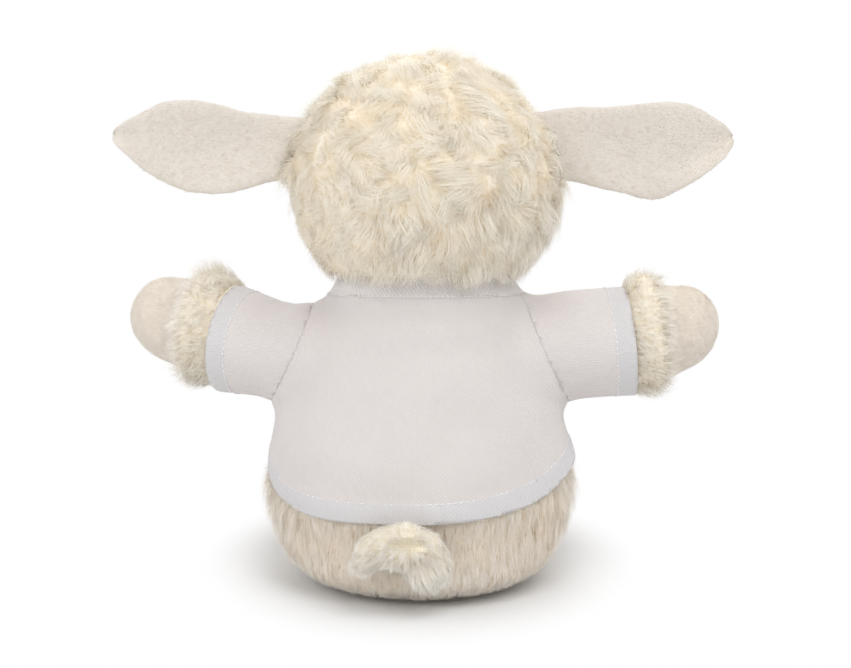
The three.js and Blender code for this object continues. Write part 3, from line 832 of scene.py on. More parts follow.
@dataclass(frozen=True)
class StudioPaper(Finish):
    """Smooth white paper: matt, it keeps the toy's shadow and fades to plain white away from it."""

    shade: float = 0.82  # in linear light
    fade_start_mm: float = 64.0
    fade_end_mm: float = 106.0
    fade_squeeze: float = 1.29  # how much narrower than deep the faded ring is
    fade_shift_mm: float = 15.0

    def surface(self, tree: Tree) -> Socket:
        """Paper round the toy and, for the camera alone, white farther off.

        Args:
            tree: the material's nodes.

        Returns:
            The socket of the shader.
        """
        place = add_node(tree, "ShaderNodeTexCoord").outputs["Object"]
        ring = {"Scale": (self.fade_squeeze, 1.0, 1.0), "Location": (0, self.fade_shift_mm * MM, 0)}
        wide = add_node(tree, "ShaderNodeMapping", ring, {"Vector": place})
        away = add_node(tree, "ShaderNodeVectorMath", {"operation": "LENGTH"}, {0: wide.outputs[0]})
        ends = {"From Min": self.fade_start_mm * MM, "From Max": self.fade_end_mm * MM}
        smooth = {"interpolation_type": "SMOOTHSTEP", **ends}
        fade = add_node(tree, "ShaderNodeMapRange", smooth, {"Value": away.outputs["Value"]})
        matt = {"Base Color": (*[self.shade] * 3, 1), "Roughness": 0.9, "Specular IOR Level": 0.1}
        paper = add_node(tree, "ShaderNodeBsdfPrincipled", matt)
        white = add_node(tree, "ShaderNodeEmission", {"Color": WHITE, "Strength": 1.0})
        path = add_node(tree, "ShaderNodeLightPath")
        factors = {0: path.outputs["Is Camera Ray"], 1: fade.outputs[0]}
        seen = add_node(tree, "ShaderNodeMath", {"operation": "MULTIPLY"}, factors)
        both = {0: seen.outputs[0], 1: paper.outputs[0], 2: white.outputs[0]}
        return add_node(tree, "ShaderNodeMixShader", links=both).outputs[0]


WHITE = linear("#FFFFFF")
# Each fur runs from warm roots to pale tips: partly the fur's own tint, partly painted warm shade deep in the coat.
LONG_FUR = FauxFur("acrylic_long_fur", "#FDF4E2", "#FFFBF2", "#FFFFFC", "#FBE8C6", "#FFFAEC")
RUMP_FUR = FauxFur("acrylic_combed_fur", "#FAEDDA", "#FFFBF4", "#FFFFFD", "#F2DCC0", "#FFF2E0")
# The cuffs' fur is the long acrylic fur drawn whiter: painted light against the shade among the cuff's upright hairs.
CUFF_FUR_PAINTED_LIGHT = FauxFur("acrylic_cuff_fur", "#FFF6E6", "#FFFCF4", "#FFFFFE", "#FFEFD4", "#FFFCF0")
TAIL_FUR = FauxFur("acrylic_white_fur", "#FAF3E4", "#FFFCF6", "#FFFFFF", "#F6EAD0", "#FFFDF6")
SHORT_FUR = FauxFur("polyester_short_pile", "#FBF5EC", "#FDF8F1", "#FFFCF7", "#F8EFE4", "#FDF8F0")
EAR_FUR = FauxFur("polyester_ear_pile", "#EAE3DA", "#F0EAE2", "#F4EFE8", "#E8DFD4", "#F0E9E0")
PLUSH_CLOTH = BrushedPlush("polyester_plush_cloth", "#E6DCCE", "#F6F0E7")
EAR_CLOTH = BrushedPlush("polyester_ear_plush", "#D6CEC4", "#E5DED5")
# The fur's ground cloth is drawn near white, paler than the yellowish knitted backing: painted light in the gaps
# between the hairs.
FUR_CLOTH_PAINTED_LIGHT = BrushedPlush("fur_ground_cloth", "#FFF4E0", "#FFFBF0")
SINGLE_JERSEY = Jersey("polyester_jersey_single", "#D7D0CE", "#DDD7D5")
# The hem's double jersey is less creamy than the single layer over the fur, and a little darker: painted shade along
# the hems.
DOUBLE_JERSEY_WITH_SHADE = Jersey("polyester_jersey_double", "#D0CDCE", "#D6D4D5", depth_mm=0.1)
# The neckband is drawn paler than the shirt's jersey: painted light against the shade under the head.
NECK_JERSEY_PAINTED_LIGHT = Jersey("polyester_jersey_neckband", "#EAE4E3", "#F0ECEB", depth_mm=0.2)
WHITE_THREAD = SpunThread("polyester_thread_white", "#E8E7EB", "#F4F4F6")
NOSE_THREAD = SpunThread("polyester_thread_nose", "#8A6258", "#A77C70")
BACKING = KnittedBacking("knitted_fur_backing", "#FFF9EA", "#E6D9B8")
EYE_PLASTIC = PolishedEye("acrylic_eye", "#0B0807", "#1C120D")
PAPER = StudioPaper("studio_paper")


class Workshop:
    """Keeps one material for each finish and dresses pieces with them."""

    made: dict[str, bpy.types.Material] = {}

    @classmethod
    def dress(cls, piece: Piece, finish: Finish, slot: str) -> Piece:
        """Gives a piece its finish and the record's slot that it stands for.

        Args:
            piece: the piece.
            finish: its finish.
            slot: the record's slot.

        Returns:
            The piece.
        """
        if finish.name not in cls.made:
            cls.made[finish.name] = finish.material()
        piece.data.materials.append(cls.made[finish.name])
        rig.slot(piece, slot)
        LOG.info("made %s, %d faces", piece.name, len(piece.data.polygons))
        return piece


# Fur


@dataclass(frozen=True)
class Coat:
    """How fur grows: lengths in millimetres, density in hairs for each square millimetre."""

    length: float
    density: float
    width: float
    lock: float  # distance between locks
    lift: float  # 0 lies flat, 1 stands up
    gather: float  # how far a lock's hairs draw together at the tip
    curl: float = 0.1
    swirl: float = 0.3  # how far whorls turn the combing
    whorl: float = 26.0  # the whorls' size
    unruly: float = 0.15  # how far each lock differs from the next
    under: float = 0.25  # share of short, loose hairs under the locks
    spread: float = 0.25  # differences in length
    steps: int = 3
    round: float = 1.0  # how far light sees the skin's roundness in place of each hair
    streak: float = 0.06  # how far hairs differ in tone


@dataclass
class FurPatch:
    """Fur planted on a skin."""

    coat: Coat
    skin: Field
    seed: int
    comb: Comb  # from points and the way out of the skin to the way that hairs lean
    keep: Measure  # the chance that a hair grows
    settle: Optional[Move] = None  # moves hairs off what they would run into
    length_at: Optional[Measure] = None  # the share of the coat's length that hairs have

    def roots(self, points: Points, quads: Values, rng: np.random.Generator, density: float) -> Points:
        """Random roots on a skin's mesh.

        Args:
            points: the mesh's points.
            quads: its faces.
            rng: the source of chance.
            density: roots for each square millimetre.

        Returns:
            The roots that the patch keeps.
        """
        tris = np.concatenate([quads[:, [0, 1, 2]], quads[:, [0, 2, 3]]])
        a, b, c = (points[tris[:, i]] for i in range(3))
        area = np.linalg.norm(np.cross(b - a, c - a), axis=1) / 2
        count = rng.poisson(area * density)
        pick = np.repeat(np.arange(len(tris)), count)
        u, v = rng.random(len(pick)), rng.random(len(pick))
        flip = u + v > 1
        u[flip], v[flip] = 1 - u[flip], 1 - v[flip]
        found = a[pick] + u[:, None] * (b - a)[pick] + v[:, None] * (c - a)[pick]
        return found[rng.random(len(found)) < self.keep(found)]

    def frames(self, p: Points, rng: np.random.Generator) -> tuple[Points, Points, Points]:
        """The axes that hairs grow along.

        Args:
            p: points on the skin.
            rng: the source of chance.

        Returns:
            For each point, the way out of the skin, the way that the hair leans, and the way across it.
        """
        out = slope(self.skin, p)
        lean = self.comb(p, out) + self.coat.swirl * waves(self.seed, self.coat.whorl)(p)
        lean = lean + 0.7 * self.coat.swirl * waves(self.seed + 1, self.coat.whorl * 0.4)(p)
        lean = lean + rng.normal(scale=self.coat.unruly, size=p.shape)
        lean = unit(lean - (lean * out).sum(1, keepdims=True) * out)
        return out, lean, np.cross(out, lean)

    def grow(self, points: Points, quads: Values) -> tuple[Points, Points, Values]:
        """Grows the fur.

        Args:
            points: the skin's mesh.
            quads: its faces.

        Returns:
            The hairs' middle lines, hair by hair and step by step, the way out of the skin at each
            root, and each hair's tone.
        """
        coat, rng = self.coat, np.random.default_rng(self.seed)
        root = self.roots(points, quads, rng, coat.density)
        centre = self.roots(points, quads, rng, 1 / coat.lock**2)
        tree = kdtree.KDTree(len(centre))
        for i, place in enumerate(centre):
            tree.insert(place, i)
        tree.balance()
        blurred = root + rng.normal(scale=coat.lock * 0.16, size=root.shape)
        owner = np.array([tree.find(place)[1] for place in blurred])
        out, lean, across = self.frames(centre, rng)
        length = coat.length * rng.uniform(1 - coat.spread, 1 + coat.spread, len(centre))
        if self.length_at is not None:
            length = length * self.length_at(centre)
        lift = np.clip(coat.lift * rng.uniform(0.75, 1.25, len(centre)), 0.05, 1)
        bend = rng.normal(scale=coat.curl, size=len(centre))
        tone = 0.38 + 0.34 * waves(self.seed + 2, 20)(centre)[:, 0]
        tone = tone + rng.normal(scale=0.02 + coat.streak, size=len(centre))

        t = np.linspace(0, 1, coat.steps)[None, :, None]

        def path(axes: Sequence[Points], size: Values, high: Values, side: Values) -> Points:
            """Hairs' middle lines, which rise off the skin and bend over along it.

            Args:
                axes: the way out of the skin, the way that each hair leans, and the way across it.
                size: the hairs' lengths.
                high: how far they stand up.
                side: how far they bend sideways.

            Returns:
                The lines, each from its own root.
            """
            n, d, s = (axis[:, None, :] for axis in axes)
            up = high[:, None, None] * (1.5 * t - 0.85 * t**2) + 0.12 * (1 - t) * t
            flat = (1 - 0.55 * high[:, None, None]) * (0.35 * t + 0.65 * t**2)
            sway = side[:, None, None] * np.sin(math.pi * t * 0.9) * t
            return (up * n + flat * d + sway * s) * size[:, None, None]

        lock_line = centre[:, None, :] + path((out, lean, across), length, lift, bend)
        loose = rng.random(len(root)) < coat.under
        own = rng.uniform(0.8, 1.08, len(root)) * np.where(loose, 0.62, 1)
        hair_out = slope(self.skin, root)
        stray = rng.normal(scale=np.where(loose, 0.55, 0.16)[:, None], size=root.shape)
        hair_lean = unit(lean[owner] + stray)
        hair_lean = unit(hair_lean - (hair_lean * hair_out).sum(1, keepdims=True) * hair_out)
        hair = root[:, None, :] + path(
            (hair_out, hair_lean, np.cross(hair_out, hair_lean)),
            length[owner] * own,
            lift[owner] * rng.uniform(0.85, 1.15, len(root)),
            bend[owner] + rng.normal(scale=0.06, size=len(root)),
        )
        pull = coat.gather * np.where(loose, 0.15, rng.uniform(0.6, 1.1, len(root)))
        hair = hair + (lock_line[owner] - hair) * np.clip(pull[:, None, None], 0, 0.95) * t**1.4
        hair = hair + rng.normal(scale=0.035 * coat.length, size=(len(root), 1, 3)) * t**2
        flat = hair.reshape(-1, 3)
        depth = self.skin(flat)
        least = np.tile(np.linspace(-0.2, 0.7, coat.steps), len(root))
        flat = flat + slope(self.skin, flat) * np.maximum(least - depth, 0)[:, None]
        if self.settle is not None:
            flat = self.settle(flat)
        shade = tone[owner] + rng.normal(scale=coat.streak, size=len(root)) + 0.15 * loose
        shade = np.clip(shade, 0.02, 0.98)
        return flat.reshape(hair.shape), hair_out, shade

    def piece(self, name: str, points: Points, quads: Values, finish: Finish, slot: str) -> Piece:
        """The fur as a dressed piece of tapered strips, one for each hair.

        Args:
            name: the piece's name.
            points: the skin's mesh.
            quads: its faces.
            finish: its finish.
            slot: the record's slot.

        Returns:
            The piece.
        """
        line, out, tone = self.grow(points, quads)
        broad = slope(self.skin, line[:, 0], min(4.0, 0.35 * self.coat.length))
        rng = np.random.default_rng(self.seed + 7)
        count, steps = line.shape[:2]
        run = unit(np.gradient(line, axis=1))
        side = unit(np.cross(run, np.broadcast_to(out[:, None, :], run.shape)))
        face = np.cross(side, run)
        roll = rng.uniform(-0.15, 0.15, (count, 1))
        turn = (roll + np.linspace(0, 0.15, steps) * rng.normal(size=(count, 1)))[..., None]
        side, face = side * np.cos(turn) + face * np.sin(turn), face * np.cos(turn) - side * np.sin(turn)
        light = unit(self.coat.round * broad[:, None, :] + (1 - self.coat.round) * face)
        thin = 1 - 0.75 * np.linspace(0, 1, steps) ** 1.6
        taper = (self.coat.width * rng.uniform(0.7, 1.3, (count, 1)) * thin)[..., None]
        pairs = np.stack([line - side * taper / 2, line + side * taper / 2], axis=2)[:, :-1]
        body = pairs.reshape(count, -1, 3)
        corners = np.concatenate([body, line[:, -1:, :]], axis=1)
        each = corners.shape[1]
        base = np.arange(count)[:, None] * each
        faces = [base + np.array([2 * i, 2 * i + 1, 2 * i + 3, 2 * i + 2]) for i in range(steps - 2)]
        faces.append(base + np.array([2 * (steps - 2), 2 * (steps - 2) + 1, 2 * (steps - 2) + 2]))
        along = np.concatenate([np.repeat(np.linspace(0, 1, steps)[:-1], 2), [1.0]])
        uv = np.stack([np.repeat(tone, each), np.tile(0.02 + 0.96 * along, count)], axis=1)
        light = np.concatenate([np.repeat(light[:, :-1], 2, axis=1), light[:, -1:]], axis=1).reshape(-1, 3)
        return Workshop.dress(mesh_piece(name, corners.reshape(-1, 3), faces, uv, light), finish, slot)


# The body, its fur and the shirt

TORSO_TOP = 104
TORSO_RINGS = np.array(  # heights, and the radius at each
    [[0, 30], [4, 42], [12, 50.5], [23, 55.2], [34, 56.5], [48, 54], [63, 49], [76, 45], [87, 41], [98, 33.6],
     [TORSO_TOP, 30.6]]
)
HEM_LOW = 31.0
HEM_ANGLES = (0, 10, 20, 35, 50, 72, 98, 121, 144, 160, 175, 225, 270, 315, 345)
HEM_HEIGHTS = (42.6, 38.2, 33.9, 31.6, 31.3, 31.6, 32.2, 33.9, 36.6, 42.0, 45.7, 44.0, 42.0, 43.0, 43.6)


def torso_radius(z: Values) -> Values:
    """The body's radius across, with its fur.

    Args:
        z: heights.

    Returns:
        The radius at each, with the corners between the rings rounded off above the seat.
    """
    fine = np.linspace(0, TORSO_TOP, 2 * TORSO_TOP + 1)
    plain = np.interp(fine, *TORSO_RINGS.T)
    smooth = np.convolve(np.pad(plain, 6, mode="edge"), np.ones(13) / 13, "valid")
    smooth[:8] = plain[:8]
    return np.interp(z, fine, smooth)


def torso(grown: float) -> Field:
    """The body without its limbs.

    Args:
        grown: how far its surface is moved outwards, or inwards where negative.

    Returns:
        The body's field.
    """

    def trunk(p: Points) -> Values:
        """How far each point lies outside the body below the neck.

        Args:
            p: the points.

        Returns:
            A distance for each.
        """
        z = p[:, 2]
        deep = 0.9 + 0.1 * ramp(z, 87, 100)
        back = 9.0 * (1 - ramp(z, 2, 28))
        across = np.hypot(p[:, 0] - NECK[0] * ramp(z, 87, TORSO_TOP), (p[:, 1] - back) / deep)
        side = (across - torso_radius(z)) * 0.94 - grown
        return np.maximum(rounded_max(side, -z - grown, 5.0), z - (TORSO_TOP + 2))

    return joined([trunk, ellipsoid(NECK, [30.6 + grown] * 3)], 4.0)


def hem_height(p: Points) -> Values:
    """The height of the shirt's hem.

    Args:
        p: points round the body.

    Returns:
        The height in the direction of each.
    """
    turn = np.arange(0, 360, 3.0)
    line = np.interp(turn, HEM_ANGLES, HEM_HEIGHTS, period=360)
    line = sum(np.roll(line, k) for k in range(-3, 4)) / 7
    return np.interp(np.degrees(np.arctan2(p[:, 1], p[:, 0])), turn, line, period=360)


@dataclass(frozen=True)
class LimbFrame:
    """A limb's own axes: X runs from its pivot to its tip."""

    pivot: Spot
    turn: float
    rise: float

    def axes(self) -> Values:
        """The limb's axes as rows, in the toy's frame."""
        turn, rise = math.radians(self.turn), math.radians(self.rise)
        along = np.array([math.cos(turn) * math.cos(rise), math.sin(turn) * math.cos(rise), math.sin(rise)])
        across = np.array([-math.sin(turn), math.cos(turn), 0.0])
        return np.stack([along, across, np.cross(along, across)])

    def local(self, p: Points) -> Points:
        """Points in the limb's own axes."""
        return (p - np.array(self.pivot)) @ self.axes().T

    def place(self, p: Union[Points, Floats]) -> Points:
        """Points of the limb's own axes in the toy's frame."""
        return np.asarray(p, float) @ self.axes() + np.array(self.pivot)


ARMS = {
    Side.LEFT: LimbFrame((37.0, 0.0, 84.0), -24.0, 5.0),
    Side.RIGHT: LimbFrame((-37.0, 0.0, 84.0), 185.0, 5.0),
}
LEGS = {
    Side.LEFT: LimbFrame((26.0, -33.0, 19.5), -76.0, 0.0),
    Side.RIGHT: LimbFrame((-26.0, -33.0, 19.5), -104.0, 0.0),
}


def in_limb(frame: LimbFrame, field: Field) -> Field:
    """A field given in a limb's own axes, for points of the toy's frame."""
    return lambda p: field(frame.local(p))


SLEEVES = {  # points along each sleeve, and the radius at each
    Side.LEFT: (
        [(2, 0, -1.9), (10, 0, -3.7), (18, 0, -4.0), (34, 0, -3.3), (44, 0, -2.9)],
        [17.1, 17.1, 17.4, 19.4, 20.0],
    ),
    Side.RIGHT: ([(2, 0, -1.0), (17, 0, -1.2), (36, 0, -2.0), (44, 0, -2.4)], [18.5, 19.4, 19.9, 20.2]),
}
SLEEVE_END = {Side.LEFT: 34.5, Side.RIGHT: 38.0}
HANDS = {
    Side.LEFT: ((59.6, 0, 0.8), (13.5, 14.2, 13.9)),
    Side.RIGHT: ((57.6, 0, 2.4), (12.6, 13.8, 13.2)),
}


def sleeve_field(side: Side, grown: float) -> Field:
    """A sleeve, which hangs from the top of its arm."""
    path, radii = SLEEVES[side]
    return in_limb(ARMS[side], stuffed_tube(path, [r + grown for r in radii]))


def shirt_field(grown: float) -> Field:
    """The outside of the shirt, grown outwards, with a soft hollow at each armhole."""
    return joined([torso(1.7 + grown), *(sleeve_field(side, grown) for side in Side)], 9.0)


@dataclass
class Torso:
    """The stuffed body: its skin, and its combed fur below the shirt's hem."""

    skin_step: float = 2.2
    fur_depth: float = 3.7
    under_shirt: float = 7.0  # how far the fur goes on above the hem
    leg_hole: float = 14.0
    fur: Coat = Coat(
        length=10.5, density=3.3, width=0.2, lock=2.0, lift=0.38, gather=0.24,
        curl=0.08, swirl=0.2, whorl=20, unruly=0.12, streak=0.18,
    )

    def build(self) -> None:
        """Makes the skin and the fur."""
        skin = torso(-self.fur_depth)
        points, quads = surface_of(skin, (-58, -52, 2), (58, 52, 136), self.skin_step)
        piece = mesh_piece("body_cloth", points, [quads])
        Workshop.dress(piece, FUR_CLOTH_PAINTED_LIGHT, "fur")
        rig.ride(piece, "torso")
        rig.padded(piece, fill=0.8)
        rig.replaces(piece, "body_skin", "body_filling", "pellet_bag", "neck_filling")
        for part, sign, seed in (("back", 1, 11), ("front", -1, 12)):
            patch = FurPatch(self.fur, skin, seed, self.comb, self.keep(sign), self.settle, self.trim)
            fur = patch.piece(f"body_fur_{part}", points, quads, RUMP_FUR, "fur")
            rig.ride(fur, "torso")

    @staticmethod
    def comb(p: Points, out: Points) -> Points:
        """Combed down and a little outwards.

        Args:
            p: points on the skin.
            out: the way out of it.

        Returns:
            The way that the fur leans.
        """
        lean = np.tile([0.0, 0.0, -1.2], (len(p), 1))
        lean[:, :2] += out[:, :2] * 0.2
        return lean

    @staticmethod
    def trim(p: Points) -> Values:
        """Longer fur below the hem at the sides, and shorter fur near the floor."""
        return 0.85 + 0.4 * ramp(p[:, 2], 16, 30) * ramp(np.abs(p[:, 0]), 25, 50)

    def keep(self, sign: int) -> Measure:
        """Where fur shows: below the hem, clear of the legs and not under the seat.

        Args:
            sign: 1 for the back half and -1 for the front.

        Returns:
            The chance that a hair grows at each point.
        """

        def chance(p: Points) -> Values:
            """All of it where it shows, and a quarter near the floor."""
            show = (p[:, 2] < hem_height(p) + self.under_shirt) & (p[:, 1] * sign >= 0)
            for frame in LEGS.values():
                q = frame.local(p)
                show &= ~((np.hypot(q[:, 1], q[:, 2]) < self.leg_hole) & (q[:, 0] > -10))
            return np.where(show, np.where(p[:, 2] < 2.5, 0.25, 1.0), 0.0)

        return chance

    @staticmethod
    def settle(p: Points) -> Points:
        """Keeps hairs off the floor and under the shirt.

        Args:
            p: points on the hairs.

        Returns:
            The same points, moved.
        """
        p = p.copy()
        shape = torso(0.0)
        puff = ramp(p[:, 2], 14, 28) * ramp(np.abs(p[:, 0]), 25, 50)
        p -= slope(shape, p) * 0.75 * np.maximum(shape(p) - 2.6 * puff, 0)[:, None]
        cloth = Shirt().draped()
        high = p[:, 2] > hem_height(p) + 0.3
        out = slope(cloth, p[high])
        p[high] -= out * np.maximum(cloth(p[high]) + 1.7, 0)[:, None]
        p[:, 2] = np.maximum(p[:, 2], 0.3 + 0.15 * np.abs(np.sin(p[:, 0] * 9 + p[:, 1] * 7)))
        return p


@dataclass
class Shirt:
    """A T-shirt of thin jersey: body, two sleeves and a neckband, with turned and stitched hems."""

    step: float = 1.9
    thickness: float = 0.7
    hem_depth: float = 7.0
    sleeve_hem_depth: float = 6.8
    stitch_pitch: float = 2.2
    seam_point: tuple[float, float] = (45.0, 84.0)  # across and up, on the left
    seam_normal: tuple[float, float] = (0.915, 0.403)
    band_low: float = -4.6
    band_high: float = 6.0
    band_radius: float = 28.9  # at its top
    band_tilt: float = 9.4
    band_scoop: float = 4.2  # the room under the chin, so that the head can nod
    band_sink: float = 0.6  # how far the cloth reaches over the band's foot
    girth_radius: float = 50.0
    sleeve_radius: float = 18.0
    neck_radius: float = 32.0
    armpit: tuple[float, float] = (49.0, 68.0)  # across and up, on the left
    fall_height: float = 34.0  # how far above the hem the cloth starts to hang free

    def build(self) -> None:
        """Makes the cloth, cuts it at the seams and sews it."""
        field = self.draped()
        points, quads = surface_of(field, (-96, -62, 18), (96, 62, 140), self.step)
        whole = mesh_piece("shirt_whole", points, [quads])
        body = self.cut(whole, "shirt_body", None)
        sleeves = {side: self.cut(whole, f"shirt_sleeve_{side.word}", side) for side in Side}
        bpy.data.objects.remove(whole)
        self.finish_body(body, field)
        for side, piece in sleeves.items():
            self.finish_sleeve(piece, side, field)
        self.neckband(field)

    def draped(self) -> Field:
        """The shirt's surface with its folds, its turned hem and its seams.

        Returns:
            The field of the cloth's outside.
        """
        smooth = shirt_field(0.0)
        wander = waves(301, 60)
        ripple = waves(302, 24)

        def distance(p: Points) -> Values:
            """How far each point lies outside the cloth.

            Args:
                p: the points.

            Returns:
                A distance for each.
            """
            angle = np.arctan2(p[:, 1], p[:, 0])
            hem = hem_height(p)
            start = hem - 9 * ramp(np.cos(angle), 0.6, 1)
            fall = 1 - ramp(p[:, 2], start, start + self.fall_height)
            flare = (0.8 * np.cos(6 * angle + 0.7) - 1.9 - 1.45 * np.cos(angle)) * fall
            flare -= 1.4 * np.maximum(-np.cos(angle), 0) ** 2 * fall
            folds = 0.35 * wander(p)[:, 0] + 0.22 * ripple(p)[:, 1]
            for side in Side:
                armpit = np.array([side.value * self.armpit[0], 0, self.armpit[1]])
                near, q = nearness(p, armpit, 17), p - armpit
                ray = np.arctan2(q[:, 2], -side.value * q[:, 0])
                folds = folds + 0.5 * near * np.cos(5 * ray + 0.05 * q[:, 1]) * ramp(np.abs(q[:, 1]), 2, 14)
            edge = np.exp(-(((p[:, 2] - hem - self.hem_depth) / 0.9) ** 2))
            turned = 0.3 * (p[:, 2] < hem + self.hem_depth)
            seam = np.zeros(len(p))
            for side in Side:
                seam += np.exp(-((self.seam_side(p, side) / 1.1) ** 2))
            seam *= ramp(np.linalg.norm(p - NECK, axis=1), 34, 41)
            return smooth(p) - flare - folds - turned + 0.25 * edge + 0.6 * seam

        return distance

    def seam(self, side: Side) -> tuple[Points, Points]:
        """A point of the armhole's seam, and the way across the seam towards the hand."""
        (x, z), (across, up) = self.seam_point, self.seam_normal
        return np.array([side.value * x, 0, z]), np.array([side.value * across, 0, up])

    def seam_side(self, p: Points, side: Side) -> Values:
        """How far each point lies past the armhole's seam, towards the hand."""
        place, normal = self.seam(side)
        return (p - place) @ normal

    def cut(self, whole: Piece, name: str, side: Optional[Side]) -> Piece:
        """Cuts a pattern piece out of the whole surface.

        Args:
            whole: the surface.
            name: the new piece's name.
            side: which sleeve to cut, or None for the body.

        Returns:
            The new piece, one layer thick.
        """
        work = bmesh.new()
        work.from_mesh(whole.data)

        def slice_at(point: Floats, normal: Floats, off: bool = True) -> None:
            """Cuts along a plane and takes off what lies past it, or leaves it on where off is false."""
            everything = work.verts[:] + work.edges[:] + work.faces[:]
            plane = {"plane_co": Vector(point) * MM, "plane_no": Vector(normal)}
            bmesh.ops.bisect_plane(work, geom=everything, clear_outer=off, dist=1e-7, **plane)

        def shear(sign: int) -> None:
            """Moves the cloth down until its hem is level, or back up."""
            spots = np.array([v.co for v in work.verts]) / MM
            for vertex, rise in zip(work.verts, hem_height(spots) - HEM_LOW):
                vertex.co.z += sign * rise * MM

        for each in Side if side is None else [side]:
            place, normal = self.seam(each)
            slice_at(place, normal if side is None else -normal)
        tilt = math.radians(self.band_tilt)
        up = np.array([0, -math.sin(tilt), math.cos(tilt)])
        rim = NECK + (self.band_low + self.band_sink) * up
        slice_at(rim, up, side is None)
        if side is None:
            shear(-1)
            slice_at((0, 0, HEM_LOW), (0, 0, -1))
            slice_at((0, 0, HEM_LOW + self.hem_depth), (0, 0, 1), False)
            shear(1)
        else:
            frame = ARMS[side]
            end = SLEEVE_END[side]
            middles = np.array([f.calc_center_median() for f in work.faces]) / MM
            spare = ((middles - rim) @ up > 0) & (np.hypot(middles[:, 0] - NECK[0], middles[:, 1]) < 39)
            bmesh.ops.delete(work, geom=[f for f, off in zip(work.faces, spare) if off], context="FACES")
            slice_at(frame.place([end, 0, 0]), frame.axes()[0])
            slice_at(frame.place([end - self.sleeve_hem_depth, 0, 0]), frame.axes()[0], False)
        mesh = bpy.data.meshes.new(name)
        work.to_mesh(mesh)
        work.free()
        mesh.shade_smooth()
        piece = bpy.data.objects.new(name, mesh)
        bpy.context.scene.collection.objects.link(piece)
        return piece

    def thicken(self, piece: Piece, grain: Move, radius: float) -> None:
        """Gives the cloth its thickness and the map that its knit follows.

        Args:
            piece: the cloth, one layer thick.
            grain: for each point, its angle round the cloth and millimetres along it.
            radius: turns the angle to millimetres.
        """
        modifier = piece.modifiers.new("thickness", "SOLIDIFY")
        modifier.thickness = self.thickness * MM
        modifier.offset = -1
        apply_modifiers(piece)
        mesh = piece.data
        spots = np.empty(len(mesh.vertices) * 3, np.float32)
        mesh.vertices.foreach_get("co", spots)
        corner = np.empty(len(mesh.loops), np.int32)
        mesh.loops.foreach_get("vertex_index", corner)
        place = grain(spots.reshape(-1, 3) / MM)[corner]
        start = np.empty(len(mesh.polygons), np.int32)
        mesh.polygons.foreach_get("loop_start", start)
        total = np.diff(np.append(start, len(corner)))
        first = np.repeat(place[start, 0], total)
        place[:, 0] -= np.round((place[:, 0] - first) / (2 * math.pi)) * 2 * math.pi
        place[:, 0] *= radius
        layer = mesh.uv_layers.new(name="Weave")
        layer.data.foreach_set("uv", place.astype(np.float32).ravel())

    def two_tone(self, piece: Piece, in_hem: Measure) -> None:
        """Gives the cloth's single layer and the hem's double one their own finishes; the hem's finish is a little
        darker, which is painted shade.

        Args:
            piece: the cloth.
            in_hem: for each point, whether it lies in the hem.
        """
        Workshop.dress(piece, SINGLE_JERSEY, "jersey")
        Workshop.dress(piece, DOUBLE_JERSEY_WITH_SHADE, "jersey")
        mesh = piece.data
        middle = np.empty(len(mesh.polygons) * 3, np.float32)
        mesh.polygons.foreach_get("center", middle)
        index = in_hem(middle.reshape(-1, 3) / MM).astype(np.int32)
        mesh.polygons.foreach_set("material_index", index)

    def finish_body(self, piece: Piece, field: Field) -> None:
        """Thickens, dresses and stitches the shirt's body.

        Args:
            piece: the cloth, one layer thick.
            field: the cloth's surface.
        """

        def grain(p: Points) -> Points:
            """Each point's angle round the body and its height."""
            return np.stack([np.arctan2(p[:, 1], p[:, 0]), p[:, 2]], axis=1)

        self.thicken(piece, grain, self.girth_radius)
        self.two_tone(piece, lambda p: p[:, 2] < hem_height(p) + self.hem_depth)
        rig.ride(piece, "torso")
        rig.replaces(piece, "shirt_back", "shirt_front")
        angle = np.linspace(0, 2 * math.pi, 1441)[:-1]
        ring = np.stack([self.girth_radius * np.cos(angle), 46 * np.sin(angle), 0 * angle], axis=1)
        ring[:, 2] = hem_height(ring) + self.hem_depth
        thread = self.stitches("shirt_hem_stitches", ring, field, ring * np.array([1, 1, 0]))
        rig.ride(thread, "torso")
        cut = {"flat": (0.36, 0.085), "area": 0.0195}
        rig.sheet(piece, held="draped", rests_on=["body_cloth"], with_pieces=[thread], **cut)

    def finish_sleeve(self, piece: Piece, side: Side, field: Field) -> None:
        """Thickens, dresses and stitches a sleeve, which bends between the body and the arm.

        Args:
            piece: the cloth, one layer thick.
            side: which sleeve.
            field: the cloth's surface.
        """
        frame = ARMS[side]
        start = SLEEVE_END[side] - self.sleeve_hem_depth

        def grain(p: Points) -> Points:
            """Each point's angle round the arm and its place along it."""
            q = frame.local(p)
            return np.stack([np.arctan2(q[:, 2], q[:, 1]), q[:, 0]], axis=1)

        self.thicken(piece, grain, self.sleeve_radius)
        self.two_tone(piece, lambda p: frame.local(p)[:, 0] > start)
        angle = np.linspace(0, 2 * math.pi, 541)[:-1]
        sag = SLEEVES[side][0][-1][2]
        ring = np.stack([np.full_like(angle, start), 12 * np.cos(angle), 12 * np.sin(angle) + sag], axis=1)
        ring = frame.place(ring)
        way = ring - frame.place([start, 0, sag])
        thread = self.stitches(f"sleeve_stitches_{side.word}", ring, field, way)
        place, normal = self.seam(side)
        ends = bend_between(place + normal * 0.5, place + normal * 17)
        for part in (piece, thread):
            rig.blend(part, "torso", f"arm_{side.word}", **ends)
        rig.replaces(piece, f"sleeve_{side.word}")
        rest = [f"arm_cloth_{side.word}"]
        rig.sheet(piece, flat=(0.115, 0.034), held="draped", rests_on=rest, with_pieces=[thread])

